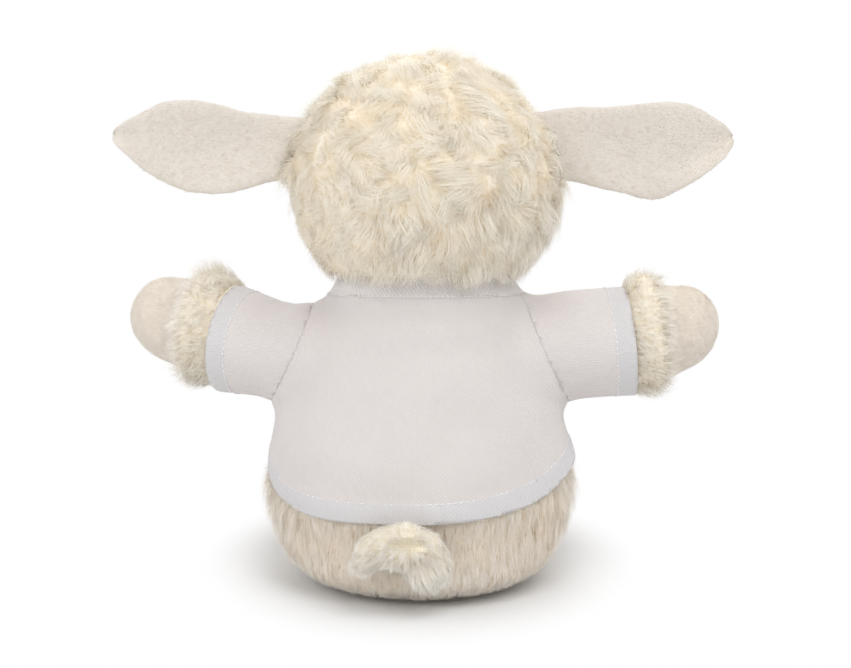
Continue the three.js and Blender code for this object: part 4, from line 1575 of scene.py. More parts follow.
    def stitches(self, name: str, ring: Points, field: Field, way: Points) -> Piece:
        """A closed line of lockstitches that lies on the cloth.

        Args:
            name: the piece's name.
            ring: points inside the cloth, all the way round.
            field: the cloth's surface.
            way: the way from each point to the cloth.

        Returns:
            The dressed thread.
        """
        way = unit(way)
        line = ring + way * reach(field, ring, way, 0.0, 24.0)[:, None]
        closed, outs = (np.vstack([v, v[:1]]) for v in (line, way))
        lengths = np.concatenate([[0], np.cumsum(np.linalg.norm(np.diff(closed, axis=0), axis=1))])
        count = int(round(lengths[-1] / self.stitch_pitch))
        where = (np.arange(count) + 0.5) / count * lengths[-1]

        def along(places: Values, values: Points) -> Points:
            """The values at places along the line."""
            return np.stack([np.interp(places, lengths, values[:, i]) for i in range(3)], axis=1)

        at, on = along(where, closed), unit(along(where, outs))
        ahead = along((where + 0.4) % lengths[-1], closed)
        run = unit(ahead - at)
        side = np.cross(on, run)
        rng = np.random.default_rng(len(ring))
        run = unit(run + side * rng.normal(0.12, 0.05, (count, 1)))
        side = np.cross(on, run)
        rows, around = 7, 6
        t = np.linspace(-1, 1, rows)
        swell = np.sqrt(np.maximum(1 - t**4, 0.02))
        turn = np.arange(around) / around * 2 * math.pi
        shape = np.stack(
            np.broadcast_arrays(
                (t * self.stitch_pitch * 0.42)[:, None],
                (swell * 0.22)[:, None] * np.cos(turn),
                (swell * 0.2)[:, None] * np.sin(turn) + (0.14 * (1 - t**2))[:, None],
            ),
            axis=-1,
        ).reshape(-1, 3)
        a, b, c = (shape[None, :, i : i + 1] for i in range(3))
        points = at[:, None, :] + a * run[:, None] + b * side[:, None] + c * on[:, None]
        quads = grid_quads(rows, around, True)
        faces = (np.arange(count)[:, None, None] * len(shape) + quads[None]).reshape(-1, 4)
        return Workshop.dress(mesh_piece(name, points.reshape(-1, 3), [faces]), WHITE_THREAD, "jersey")

    def neckband(self, field: Field) -> None:
        """Makes the ribbed band that stands round the neck, tilted forward, and meets the cloth at its foot.

        Args:
            field: the cloth's surface.
        """
        tilt = math.radians(self.band_tilt)
        around, rows, ribs = 288, 15, 96
        angle = np.arange(around) / around * 2 * math.pi
        rise = np.linspace(self.band_low, self.band_high, rows)
        up = [0, -math.sin(tilt), math.cos(tilt)]
        lean = np.array([[1, 0, 0], [0, up[2], -up[1]], up])
        ring = np.stack([np.cos(angle), np.sin(angle), 0 * angle], axis=1) @ lean
        foot = reach(field, NECK + lean[2] * (self.band_low + self.band_sink), ring, 26.0, 48.0)
        loop = []
        for height in rise:
            share = (height - self.band_low) / (self.band_high - self.band_low)
            roll = 0.45 * math.exp(-(((height - self.band_low) / 1.1) ** 2))
            radius = foot + (self.band_radius - foot) * share**0.8 + roll + 0.1 * np.cos(angle * ribs)
            level = height - self.band_scoop * share * ramp(-np.sin(angle), 0.2, 0.72)
            loop.append(np.stack([radius * np.cos(angle), radius * np.sin(angle), level], axis=1))
        inner = [loop_ring * np.array([0.975, 0.975, 1]) for loop_ring in reversed(loop)]
        net = np.concatenate(loop + inner + loop[:1])
        quads = grid_quads(2 * rows + 1, around, True)
        quads = np.where(quads >= 2 * rows * around, quads - 2 * rows * around, quads)
        net = net[: 2 * rows * around]
        piece = mesh_piece("shirt_neckband", net @ lean + NECK, [quads])
        layer = piece.data.uv_layers.new(name="Weave")
        round_it = np.tile(angle * self.neck_radius, 2 * rows)
        spots = np.stack([round_it, np.repeat(np.concatenate([rise, rise[::-1]]), around)], axis=1)
        corner = np.empty(len(piece.data.loops), np.int32)
        piece.data.loops.foreach_get("vertex_index", corner)
        layer.data.foreach_set("uv", spots[corner].astype(np.float32).ravel())
        Workshop.dress(piece, NECK_JERSEY_PAINTED_LIGHT, "jersey")
        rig.ride(piece, "torso")
        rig.replaces(piece, "neckband")
        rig.sheet(piece, flat=(0.21, 0.011), held="stretched", rests_on=["body_cloth"])


def apply_modifiers(piece: Piece) -> None:
    """Makes a piece's modifiers part of its mesh.

    Args:
        piece: the piece.
    """
    graph = bpy.context.evaluated_depsgraph_get()
    mesh = bpy.data.meshes.new_from_object(piece.evaluated_get(graph))
    old = piece.data
    piece.modifiers.clear()
    piece.data = mesh
    mesh.name = piece.name
    bpy.data.meshes.remove(old)


# The head and the ears


@dataclass
class Head:
    """The stuffed head: fur all round, a short-pile face, eyes, nose and mouth."""

    half: Spot = (45.9, 43.2, 43.8)
    lump: float = 1.3
    neck_hollow: float = 33.0
    bare_neck: float = 33.8  # how far round the neck no fur grows
    face_half: Spot = (28.0, 28.0, 30.0)
    face_back: float = 20.0
    face_rise: float = 32.0
    muzzle_half: Spot = (20.0, 20.5, 15.0)
    muzzle_back: float = 41.0
    muzzle_rise: float = 22.0
    eye_spread: float = 15.5
    eye_rise: float = 41.0
    eye_profile: tuple[tuple[float, float], ...] = (  # radius and height, from the top of the dome
        (0.01, 3.6), (1.5, 3.45), (2.8, 2.95), (3.8, 2.1), (4.4, 1.1), (4.6, 0.35), (4.85, 0.1), (4.8, -0.4),
        (3.5, -0.8),
    )
    nose_rise: float = 27.0
    nose_half: float = 6.0
    nose_rows: int = 13
    mouth_rise: float = 22.0
    fur: Coat = Coat(
        length=10.8, density=3.4, width=0.2, lock=4.6, lift=0.38, gather=0.16,
        curl=0.2, swirl=0.85, whorl=16, unruly=0.2, under=0.3, spread=0.22,
    )
    pile: Coat = Coat(
        length=1.8, density=3.5, width=0.24, lock=3.0, lift=0.3, gather=0.1, curl=0.05, swirl=0.4, steps=2
    )

    def skull(self) -> Field:
        """The head without its face, hollowed for the neck.

        Returns:
            Its field.
        """
        ball = ellipsoid(HEAD, self.half)

        def lumpy(p: Points) -> Values:
            """How far each point lies outside the head with its lumps, which end above the neck."""
            return ball(p) - self.lump * tousle(p) * ramp(p[:, 2], 112, 140)

        return hollowed(lumpy, ellipsoid(NECK, [self.neck_hollow] * 3), 3.0)

    def face(self) -> Field:
        """The face and muzzle.

        Returns:
            Their field.
        """
        brow = ellipsoid((NECK[0], -self.face_back, NECK[2] + self.face_rise), self.face_half)
        muzzle = ellipsoid((NECK[0], -self.muzzle_back, NECK[2] + self.muzzle_rise), self.muzzle_half)
        return joined([brow, muzzle], 6.0)

    def build(self) -> None:
        """Makes the head and everything on it."""
        skull, face = self.skull(), self.face()
        points, quads = surface_of(skull, (-52, -48, 98), (50, 48, 194), 2.0)
        piece = mesh_piece("head_cloth", points, [quads])
        Workshop.dress(piece, FUR_CLOTH_PAINTED_LIGHT, "fur")
        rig.ride(piece, "head")
        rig.padded(piece, fill=0.9)
        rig.replaces(piece, "head_skin", "head_filling", "eye_washer_left", "eye_washer_right")
        comb = self.comb_round(face)
        for part, sign, seed in (("back", 1, 21), ("front", -1, 22)):
            patch = FurPatch(self.fur, skull, seed, comb, self.keep(sign, face), self.settle, self.trim)
            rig.ride(patch.piece(f"head_fur_{part}", points, quads, LONG_FUR, "fur"), "head")
        self.build_face(face, skull)

    def comb_round(self, face: Field) -> Comb:
        """How the long fur is combed.

        Args:
            face: the face's field.

        Returns:
            Down and outwards over the lower head, unruly above, and over the face's edge.
        """

        def comb(p: Points, out: Points) -> Points:
            """The way that the fur leans at each point.

            Args:
                p: the points.
                out: the way out of the skin at each; not used.

            Returns:
                A direction for each.
            """
            low = 1 - ramp(p[:, 2], 122, 156)
            lean = np.zeros_like(p)
            lean[:, 0] = (p[:, 0] - HEAD[0]) / 40 * low * 1.4
            lean[:, 2] = -0.3 - 2.2 * low
            inward = unit(np.array([NECK[0], -60.0, NECK[2] + 28]) - p)
            border = np.exp(-((np.maximum(face(p), 0) / 7) ** 2)) * (p[:, 1] < 0)
            return lean * (1 - border)[:, None] + inward * (3 * border)[:, None]

        return comb

    @staticmethod
    def trim(p: Points) -> Values:
        """Shorter fur at the neck, on the crown and behind the right ear, and tufts by the left one.

        Args:
            p: points on the skin.

        Returns:
            The share of its length that the fur has at each.
        """
        neck = ramp(np.linalg.norm(p - NECK, axis=1), 33, 47)
        ear = ramp(np.linalg.norm(p - np.array([-38, 2, 171]), axis=1), 9, 20)
        below = 1 - ramp(p[:, 2], 140, 165)
        left, right = (ramp(side.value * p[:, 0], 5, 34) for side in Side)
        side = 1 - 0.42 * left * below * ramp(p[:, 2], 112, 126) + 0.2 * right * below
        tuft = 1 + 0.85 * nearness(p, (44, 4, 146), 9) + 0.45 * nearness(p, (31, 0, 178), 9)
        crown = 1 - 0.5 * nearness(p, (6, 0, 187), 10)
        return (0.66 + 0.34 * neck) * (0.6 + 0.4 * ear) * side * tuft * crown * (1 + 0.22 * tousle(p))

    def keep(self, sign: int, face: Field) -> Measure:
        """Where the long fur grows: off the face, the neck's hollow and the ears' roots.

        Args:
            sign: 1 for the back half and -1 for the front.
            face: the face's field.

        Returns:
            The chance that a hair grows at each point.
        """

        def chance(p: Points) -> Values:
            """1 where the fur grows."""
            show = (p[:, 1] * sign >= 0) & (face(p) > 0.2)
            show &= np.linalg.norm(p - NECK, axis=1) > self.bare_neck
            root = (np.abs(p[:, 0] - HEAD[0]) > 34) & (np.abs(p[:, 1]) < 2.6)
            show &= ~(root & (np.abs(p[:, 2] - EAR_HEIGHT) < 11))
            return show.astype(float)

        return chance

    @staticmethod
    def settle(p: Points) -> Points:
        """Keeps hairs outside the shirt's neck and the ears.

        Args:
            p: points on the hairs.

        Returns:
            The same points, moved.
        """
        p = p.copy()
        cloth = shirt_field(0.5)
        low = p[:, 2] < 124
        out = slope(cloth, p[low])
        p[low] += out * np.maximum(0.2 - cloth(p[low]), 0)[:, None]
        beyond = np.abs(p[:, 0] - NECK[0]) - 44
        ear = (beyond > -8) & (np.abs(p[:, 2] - EAR_HEIGHT) < 12.5) & (np.abs(p[:, 1]) < 3.6)
        p[ear, 1] = np.where(p[ear, 1] >= 0, 3.6, -3.6) + p[ear, 1] * 0.1
        return p

    def build_face(self, face: Field, skull: Field) -> None:
        """Makes the face's cloth and pile, the eyes, the nose and the mouth.

        Args:
            face: the face's field.
            skull: the field of the rest of the head.
        """
        points, quads = surface_of(face, (-34, -66, 104), (32, 10, 174), 1.5)
        shown = skull(points) > -3.0
        quads = quads[shown[quads].all(axis=1)]
        piece = mesh_piece("face_cloth", points, [quads])
        Workshop.dress(piece, PLUSH_CLOTH, "short_pile")
        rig.ride(piece, "head")
        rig.padded(piece, fill=0.9)
        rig.replaces(piece, "face_skin")

        def lean(p: Points, out: Points) -> Points:
            """Away from the nose."""
            way = p - np.array([NECK[0], -62, NECK[2] + self.nose_rise])
            return unit(way) * np.array([1, 1, 0.8])

        patch = FurPatch(self.pile, face, 31, lean, lambda p: (skull(p) > -0.5).astype(float))
        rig.ride(patch.piece("face_pile", points, quads, SHORT_FUR, "short_pile"), "head")
        for side in Side:
            self.eye(side, face)
        self.nose(face)

    def front_of(self, field: Field, x: Values, z: Values) -> Points:
        """Where the face lies in front of given places.

        Args:
            field: the face.
            x: the places across.
            z: their heights.

        Returns:
            A point of the surface for each.
        """
        start = np.stack([x, np.full_like(x, -30.0), z], axis=1)
        way = np.tile([0.0, -1.0, 0.0], (len(x), 1))
        return start + way * reach(field, start, way, 0.0, 45.0)[:, None]

    def eye(self, side: Side, face: Field) -> None:
        """Makes a domed safety eye with a narrow rim, pressed into the pile.

        Args:
            side: which eye.
            face: the face's field.
        """
        x, z = np.array([NECK[0] + side.value * self.eye_spread]), np.array([NECK[2] + self.eye_rise])
        seat = self.front_of(face, x, z)
        out = slope(face, seat)[0]
        around = 40
        turn = np.arange(around) / around * 2 * math.pi
        across = unit(np.cross([0, 0, 1.0], out))
        up = np.cross(out, across)
        rings = [
            seat[0] + out * height + radius * (np.cos(turn)[:, None] * across + np.sin(turn)[:, None] * up)
            for radius, height in self.eye_profile
        ]
        quads = grid_quads(len(rings), around, True)
        piece = mesh_piece(f"eye_dome_{side.word}", np.concatenate(rings), [quads[:, ::-1]])
        Workshop.dress(piece, EYE_PLASTIC, "eye")
        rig.ride(piece, "head")
        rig.replaces(piece, f"eye_{side.word}")

    def nose(self, face: Field) -> None:
        """Makes the satin-stitched nose and a mouth in back stitch, laid on the muzzle.

        Args:
            face: the face's field.
        """
        nose, rise = [], NECK[2] + self.nose_rise
        for across in np.linspace(-self.nose_half, self.nose_half, self.nose_rows):
            top = (NECK[0] + across, rise + (4.4 - 0.06 * across**2))
            foot = (NECK[0] + across * 0.55, rise + (-4.6 + 0.115 * across**2))
            nose.append((np.array([top, foot]), 0.62))
        middle = NECK[2] + self.mouth_rise
        turn = np.linspace(0, math.pi * 0.62, 7)
        curves = [
            np.stack([NECK[0] + sign * (4.6 - 4.6 * np.cos(turn)), middle - 4.0 - 4.2 * np.sin(turn)], axis=1)
            for sign in (-1, 1)
        ]
        curves.append(np.stack([np.full(4, NECK[0]), np.linspace(middle + 0.6, middle - 4.0, 4)], axis=1))
        mouth = [(curve[i : i + 2], 0.5) for curve in curves for i in range(len(curve) - 1)]
        for name, parts, node in (("nose_stitches", nose, "nose"), ("mouth_stitches", mouth, "mouth_stitch")):
            piece = self.threads(name, parts, face)
            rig.ride(piece, "head")
            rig.replaces(piece, node)

    def threads(self, name: str, parts: Sequence[tuple[Points, float]], face: Field) -> Piece:
        """Thick stitches that follow the muzzle.

        Args:
            name: the piece's name.
            parts: each stitch's two ends, across and up, and its radius.
            face: the face's field.

        Returns:
            The dressed thread.
        """
        steps, around = 9, 8
        turn = np.arange(around) / around * 2 * math.pi
        every, faces = [], []
        for ends, radius in parts:
            t = np.linspace(0, 1, steps)
            flat = ends[0] + (ends[1] - ends[0]) * t[:, None]
            line = self.front_of(face, flat[:, 0], flat[:, 1])
            out = slope(face, line)
            run = unit(np.gradient(line, axis=0))
            side = np.cross(out, run)
            swell = radius * np.sqrt(np.maximum(1 - (2 * t - 1) ** 8, 0.05))
            line = line + out * (1.15 + 0.25 * np.sin(math.pi * t))[:, None]
            ring = line[:, None] + swell[:, None, None] * (
                np.cos(turn)[None, :, None] * side[:, None] + np.sin(turn)[None, :, None] * out[:, None]
            )
            faces.append(grid_quads(steps, around, True) + len(every) * steps * around)
            every.append(ring.reshape(-1, 3))
        piece = mesh_piece(name, np.concatenate(every), [np.concatenate(faces)])
        return Workshop.dress(piece, NOSE_THREAD, "thread")


@dataclass
class Ear:
    """A flat ear of two layers of short plush, sewn round its edge and turned out."""

    side: Side
    upper: tuple[tuple[float, float], ...]
    lower: tuple[tuple[float, float], ...]
    cup: float
    fold: float
    ridge: float  # a soft upright ridge near the tip
    seed: int
    thickness: float = 2.1
    start: float = 30.0  # how far from the head's middle it begins
    root: float = 40.0  # how far from the head's middle it starts to bend
    pile: Coat = Coat(
        length=1.3, density=1.6, width=0.13, lock=2.2, lift=0.18, gather=0.1,
        swirl=0.35, whorl=9, unruly=0.12, steps=2,
    )

    def build(self) -> None:
        """Makes the ear's two layers and their pile."""
        word = self.side.word
        for layer, facing in (("back", 1), ("front", -1)):
            points, quads = self.layer(facing)
            piece = mesh_piece(f"ear_cloth_{word}_{layer}", points, [quads])
            Workshop.dress(piece, EAR_CLOTH, "short_pile")
            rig.replaces(piece, f"ear_{word}_{layer}")
            skin = self.field(facing)
            patch = FurPatch(self.pile, skin, self.seed + facing, self.comb, self.keep, None, self.trim)
            pile = patch.piece(f"ear_pile_{word}_{layer}", points, quads, EAR_FUR, "short_pile")
            root = np.array([NECK[0] + self.side.value * self.root, 0, EAR_HEIGHT])
            ends = bend_between(root, root + np.array([self.side.value * 12, 0, 0]))
            for part in (piece, pile):
                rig.blend(part, "head", f"ear_{word}", **ends)
            width, length, area = self.cut()
            size = {"flat": (width, length), "area": area}
            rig.sheet(piece, held="hung", rests_on=["head_cloth"], with_pieces=[pile], **size)

    def cut(self) -> Spot:
        """The size that each layer was cut to.

        Returns:
            Its width, length and area, in metres.
        """
        along = np.linspace(0, self.upper[-1][0], 200)
        width = np.interp(along, *zip(*self.upper)) - np.interp(along, *zip(*self.lower))
        return float(width.max() * MM), float(along[-1] * MM), float(width.mean() * along[-1] * MM**2)

    def edges(self, along: Values) -> tuple[Values, Values]:
        """The heights of the upper and the lower edge at places along the ear."""
        return np.interp(along, *zip(*self.upper)), np.interp(along, *zip(*self.lower))

    def middle(self, along: Values, v: Values) -> Points:
        """The ear's middle sheet.

        Args:
            along: how far from its root.
            v: how far across, from -1 at its lower edge to 1.

        Returns:
            The points of the sheet.
        """
        top, low = self.edges(along)
        z = (top + low) / 2 + (top - low) / 2 * v
        share = np.clip(along / self.upper[-1][0], 0, 1)
        y = self.cup * (v**2 - 0.3) * ramp(share, 0.0, 0.5) - 2.2 * share**2
        y = y + self.fold * ramp(share, 0.6, 0.95) * ramp(-v, 0.35, 1.0)
        y = y + 0.5 * np.sin(share * 9 + v * 2) * ramp(share, 0.1, 0.4)
        crest = np.exp(-(((along - 55.5) / 4.5) ** 2)) - 0.8 * np.exp(-(((along - 64) / 3.5) ** 2))
        y = y + self.ridge * crest
        x = NECK[0] + self.side.value * (self.start + along)
        return np.stack([x, y, z], axis=-1)

    def layer(self, facing: int) -> tuple[Points, Values]:
        """One layer, from the head to the tip.

        Args:
            facing: 1 for the back layer and -1 for the front one.

        Returns:
            Its points and quads.
        """
        rows, columns = 80, 41
        length = self.upper[-1][0]
        share = np.linspace(0, 1, rows)
        along = (length * (1 - (1 - share) ** 1.3))[:, None] * np.ones(columns)
        v = np.sin(np.linspace(-1, 1, columns) * math.pi / 2)[None, :] * np.ones((rows, 1))
        sheet = self.middle(along, v)
        edge = np.clip(1 - v**4, 0, 1) ** 0.5 * np.clip((1 - share[:, None] ** 12), 0, 1) ** 0.5
        sheet[..., 1] += facing * (self.thickness * edge + 0.05)
        quads = grid_quads(rows, columns, False)
        flip = facing * self.side.value > 0
        return sheet.reshape(-1, 3), quads[:, ::-1] if flip else quads

    def field(self, facing: int) -> Field:
        """Which way is out on a layer, which turns towards its edges.

        Args:
            facing: 1 for the back layer and -1 for the front one.

        Returns:
            The layer's field.
        """

        def distance(p: Points) -> Values:
            """How far each point lies outside the layer.

            Args:
                p: the points.

            Returns:
                A distance for each.
            """
            along = (p[:, 0] - NECK[0]) * self.side.value - self.start
            top, low = self.edges(along)
            v = np.clip((p[:, 2] - (top + low) / 2) / np.maximum((top - low) / 2, 1), -1.2, 1.2)
            sheet = self.middle(along, v)[:, 1]
            edge = np.maximum(1 - v**4, 0.02) ** 0.5
            return (p[:, 1] - sheet) * facing - self.thickness * edge

        return distance

    def comb(self, p: Points, out: Points) -> Points:
        """The pile leans towards the tip and down."""
        return np.tile([self.side.value * 1.0, 0, -0.5], (len(p), 1))

    def trim(self, p: Points) -> Values:
        """Shorter pile at the tip."""
        return 1 - 0.6 * ramp(np.abs(p[:, 0] - NECK[0]), 102, 109)

    def keep(self, p: Points) -> Values:
        """Pile grows where the ear is out of the head, but for the sewn tip."""
        out = np.abs(p[:, 0] - NECK[0])
        return ((out > self.root) & (out < 106)).astype(float)


# The limbs and the tail


@dataclass
class Arm:
    """A stuffed arm: cloth under the sleeve, a shaggy cuff and a short-pile hand."""

    side: Side
    seed: int
    hand: tuple[Floats, Floats]
    cuff_under: float = 1.5  # how far the cuff starts inside the sleeve
    cuff_length: float = 11.0
    thumb_drop: float = 3.4
    seam: tuple[float, float] = (4.0, 24.0)  # between which the arm bends from the body
    cuff: Coat = Coat(
        length=8.4, density=3.2, width=0.2, lock=3.4, lift=0.56, gather=0.1,
        swirl=0.22, whorl=12, unruly=0.14, under=0.3, spread=0.2,
    )
    pile: Coat = Coat(
        length=2.2, density=9.0, width=0.2, lock=2.4, lift=0.3, gather=0.05, curl=0.05, whorl=10
    )

    def shape(self) -> Field:
        """The arm in its own axes: a thin shaft, a bulge at the wrist, and the hand.

        Returns:
            Its field.
        """
        end = SLEEVE_END[self.side]
        path = [(0, 0, -1), (18, 0, -2), (end - 6, 0, -1.6), (end - 1, 0, -1.6), (44, 0, 0), (50, 0, 0)]
        shaft = stuffed_tube(path, [12.5, 12.5, 14.0, 17.4, 17.6, 13.5])
        wrist = ellipsoid((self.side.share(44.8, 45.0), 0, self.side.share(0.2, 0.7)), (6.2, 19.9, 19.9))
        thumb = ellipsoid((56.0, 0, self.hand[0][2] - self.thumb_drop), (10.5, 12.6, 11.8))
        return joined([shaft, wrist, ellipsoid(*self.hand), thumb], 4.0)

    def build(self) -> None:
        """Makes the arm."""
        frame, word, shape = ARMS[self.side], self.side.word, self.shape()
        end = SLEEVE_END[self.side]
        low, high = end - self.cuff_under, end + self.cuff_length
        field = in_limb(frame, shape)
        points, quads = surface_of(shape, (-18, -23, -23), (76, 23, 23), 1.6)
        points = frame.place(points)
        piece = mesh_piece(f"arm_cloth_{word}", points, [quads])
        for cloth in (PLUSH_CLOTH, FUR_CLOTH_PAINTED_LIGHT):
            Workshop.dress(piece, cloth, "short_pile")

        def comb(p: Points, out: Points) -> Points:
            """Towards the hand, more so at the sleeve, and less below the arm."""
            q = frame.local(p)
            away = (0.7 + (q[:, 0] - 43) * 0.04 + 0.8 * (1 - ramp(q[:, 0], end, end + 3)))[:, None]
            away *= 0.35 + 0.65 * ramp(q[:, 2:], -16, 0)
            return frame.axes()[0] * away + np.array([0, 0, -0.2])

        def lean(p: Points, out: Points) -> Points:
            """Towards the tip and a little down."""
            return np.tile(frame.axes()[0] * 0.8 + np.array([0, 0, -0.3]), (len(p), 1))

        def on_cuff(p: Points) -> Values:
            """1 where the shaggy cuff grows."""
            s = frame.local(p)[:, 0]
            return ((s > low) & (s < high)).astype(float)

        def on_hand(p: Points) -> Values:
            """1 where the short pile grows, which starts under the cuff."""
            return (frame.local(p)[:, 0] > high - 1.5).astype(float)

        def trim(p: Points) -> Values:
            """Shorter fur at the left sleeve."""
            return 1 - self.side.share(0.15, 0.0) * (1 - ramp(frame.local(p)[:, 0], end, end + 6))

        furry = on_cuff(points[quads].mean(axis=1)).astype(np.int32)
        piece.data.polygons.foreach_set("material_index", furry)
        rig.padded(piece, fill=0.8)
        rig.replaces(piece, f"arm_{word}_skin", f"hand_{word}_skin", f"arm_{word}_filling")
        ends = bend_between(*(frame.place([place, 0, 0]) for place in self.seam))
        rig.blend(piece, "torso", f"arm_{word}", **ends)
        patch = FurPatch(self.cuff, field, self.seed, comb, on_cuff, self.settle, trim)
        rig.ride(patch.piece(f"cuff_fur_{word}", points, quads, CUFF_FUR_PAINTED_LIGHT, "fur"), f"arm_{word}")
        patch = FurPatch(self.pile, field, self.seed + 3, lean, on_hand)
        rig.ride(patch.piece(f"hand_pile_{word}", points, quads, SHORT_FUR, "short_pile"), f"arm_{word}")

    def settle(self, p: Points) -> Points:
        """Keeps the cuff's hairs out of the sleeve: beside its hem, or under it.

        Args:
            p: points on the hairs.

        Returns:
            The same points, moved.
        """
        frame, end = ARMS[self.side], SLEEVE_END[self.side]
        cloth = sleeve_field(self.side, 0.0)
        q = frame.local(p)
        over = (cloth(p) > -0.9) & (q[:, 0] < end + 1.6)
        q[over, 0] = end + 0.15 + 1.45 * np.exp((q[over, 0] - end - 1.6) / 1.6)
        p = frame.place(q)
        under = q[:, 0] < end + 0.1
        p[under] -= slope(cloth, p[under]) * np.maximum(cloth(p[under]) + 1.0, 0)[:, None]
        return p


@dataclass
class Leg:
    """A stuffed leg that lies on the floor: furry thigh, shaggy ankle and short-pile foot."""

    side: Side
    seed: int
    seam: tuple[float, float] = (8.0, 24.0)  # between which the leg bends from the body
    ankle_start: float = 24.0
    foot_start: float = 34.0
    thigh: Coat = Coat(
        length=9.0, density=4.6, width=0.2, lock=2.6, lift=0.42, gather=0.2, whorl=18, unruly=0.14
    )
    ankle: Coat = Coat(
        length=8.6, density=5.0, width=0.2, lock=3.4, lift=0.62, gather=0.12,
        curl=0.12, whorl=12, under=0.3, spread=0.2,
    )
    pile: Coat = Coat(
        length=2.4, density=4.5, width=0.26, lock=2.4, lift=0.34, gather=0.08, curl=0.05, steps=2
    )

    def build(self) -> None:
        """Makes the leg."""
        frame, word = LEGS[self.side], self.side.word
        thigh = stuffed_tube([(-2, 0, 0), (24, 0, 0), (34, 0, 0)], [12.6, 12.8, 13.2])
        shape = joined([thigh, ellipsoid((45.5, 0, 0.6), (13.0, 16.4, 16.8))], 5.0)
        points, quads = surface_of(shape, (-18, -20, -20), (62, 20, 20), 1.7)
        points = frame.place(points)
        points[:, 2] = np.maximum(points[:, 2], 0.6)
        piece = mesh_piece(f"leg_cloth_{word}", points, [quads])
        Workshop.dress(piece, PLUSH_CLOTH, "short_pile")
        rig.padded(piece, fill=0.8)
        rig.replaces(piece, f"leg_{word}_skin", f"foot_{word}_skin", f"leg_{word}_filling")
        ends = bend_between(*(frame.place([place, 0, 0]) for place in self.seam))
        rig.blend(piece, "torso", f"leg_{word}", **ends)
        stretches = (
            ("thigh_fur", self.thigh, 1.0, -10, self.ankle_start + 2, RUMP_FUR, "fur"),
            ("ankle_fur", self.ankle, 0.3, self.ankle_start, self.foot_start + 2, LONG_FUR, "fur"),
            ("foot_pile", self.pile, 0.8, self.foot_start, 90, SHORT_FUR, "short_pile"),
        )
        for seed, (name, coat, share, start, stop, finish, slot) in enumerate(stretches, self.seed):

            def lean(p: Points, out: Points) -> Points:
                """Towards the tip and a little down."""
                return np.tile(frame.axes()[0] * share + np.array([0, 0, -0.4]), (len(p), 1))

            def chance(p: Points) -> Values:
                """1 on this stretch, where it is out of the body."""
                s = frame.local(p)[:, 0]
                return ((s > start) & (s < stop) & (torso(-8)(p) > 0)).astype(float)

            patch = FurPatch(coat, in_limb(frame, shape), seed, lean, chance, self.settle)
            fur = patch.piece(f"{name}_{word}", points, quads, finish, slot)
            if coat is self.thigh:
                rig.blend(fur, "torso", f"leg_{word}", **ends)
            else:
                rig.ride(fur, f"leg_{word}")

    @staticmethod
    def settle(p: Points) -> Points:
        """Keeps hairs off the floor."""
        return np.stack([p[:, 0], p[:, 1], np.maximum(p[:, 2], 0.3)], axis=1)


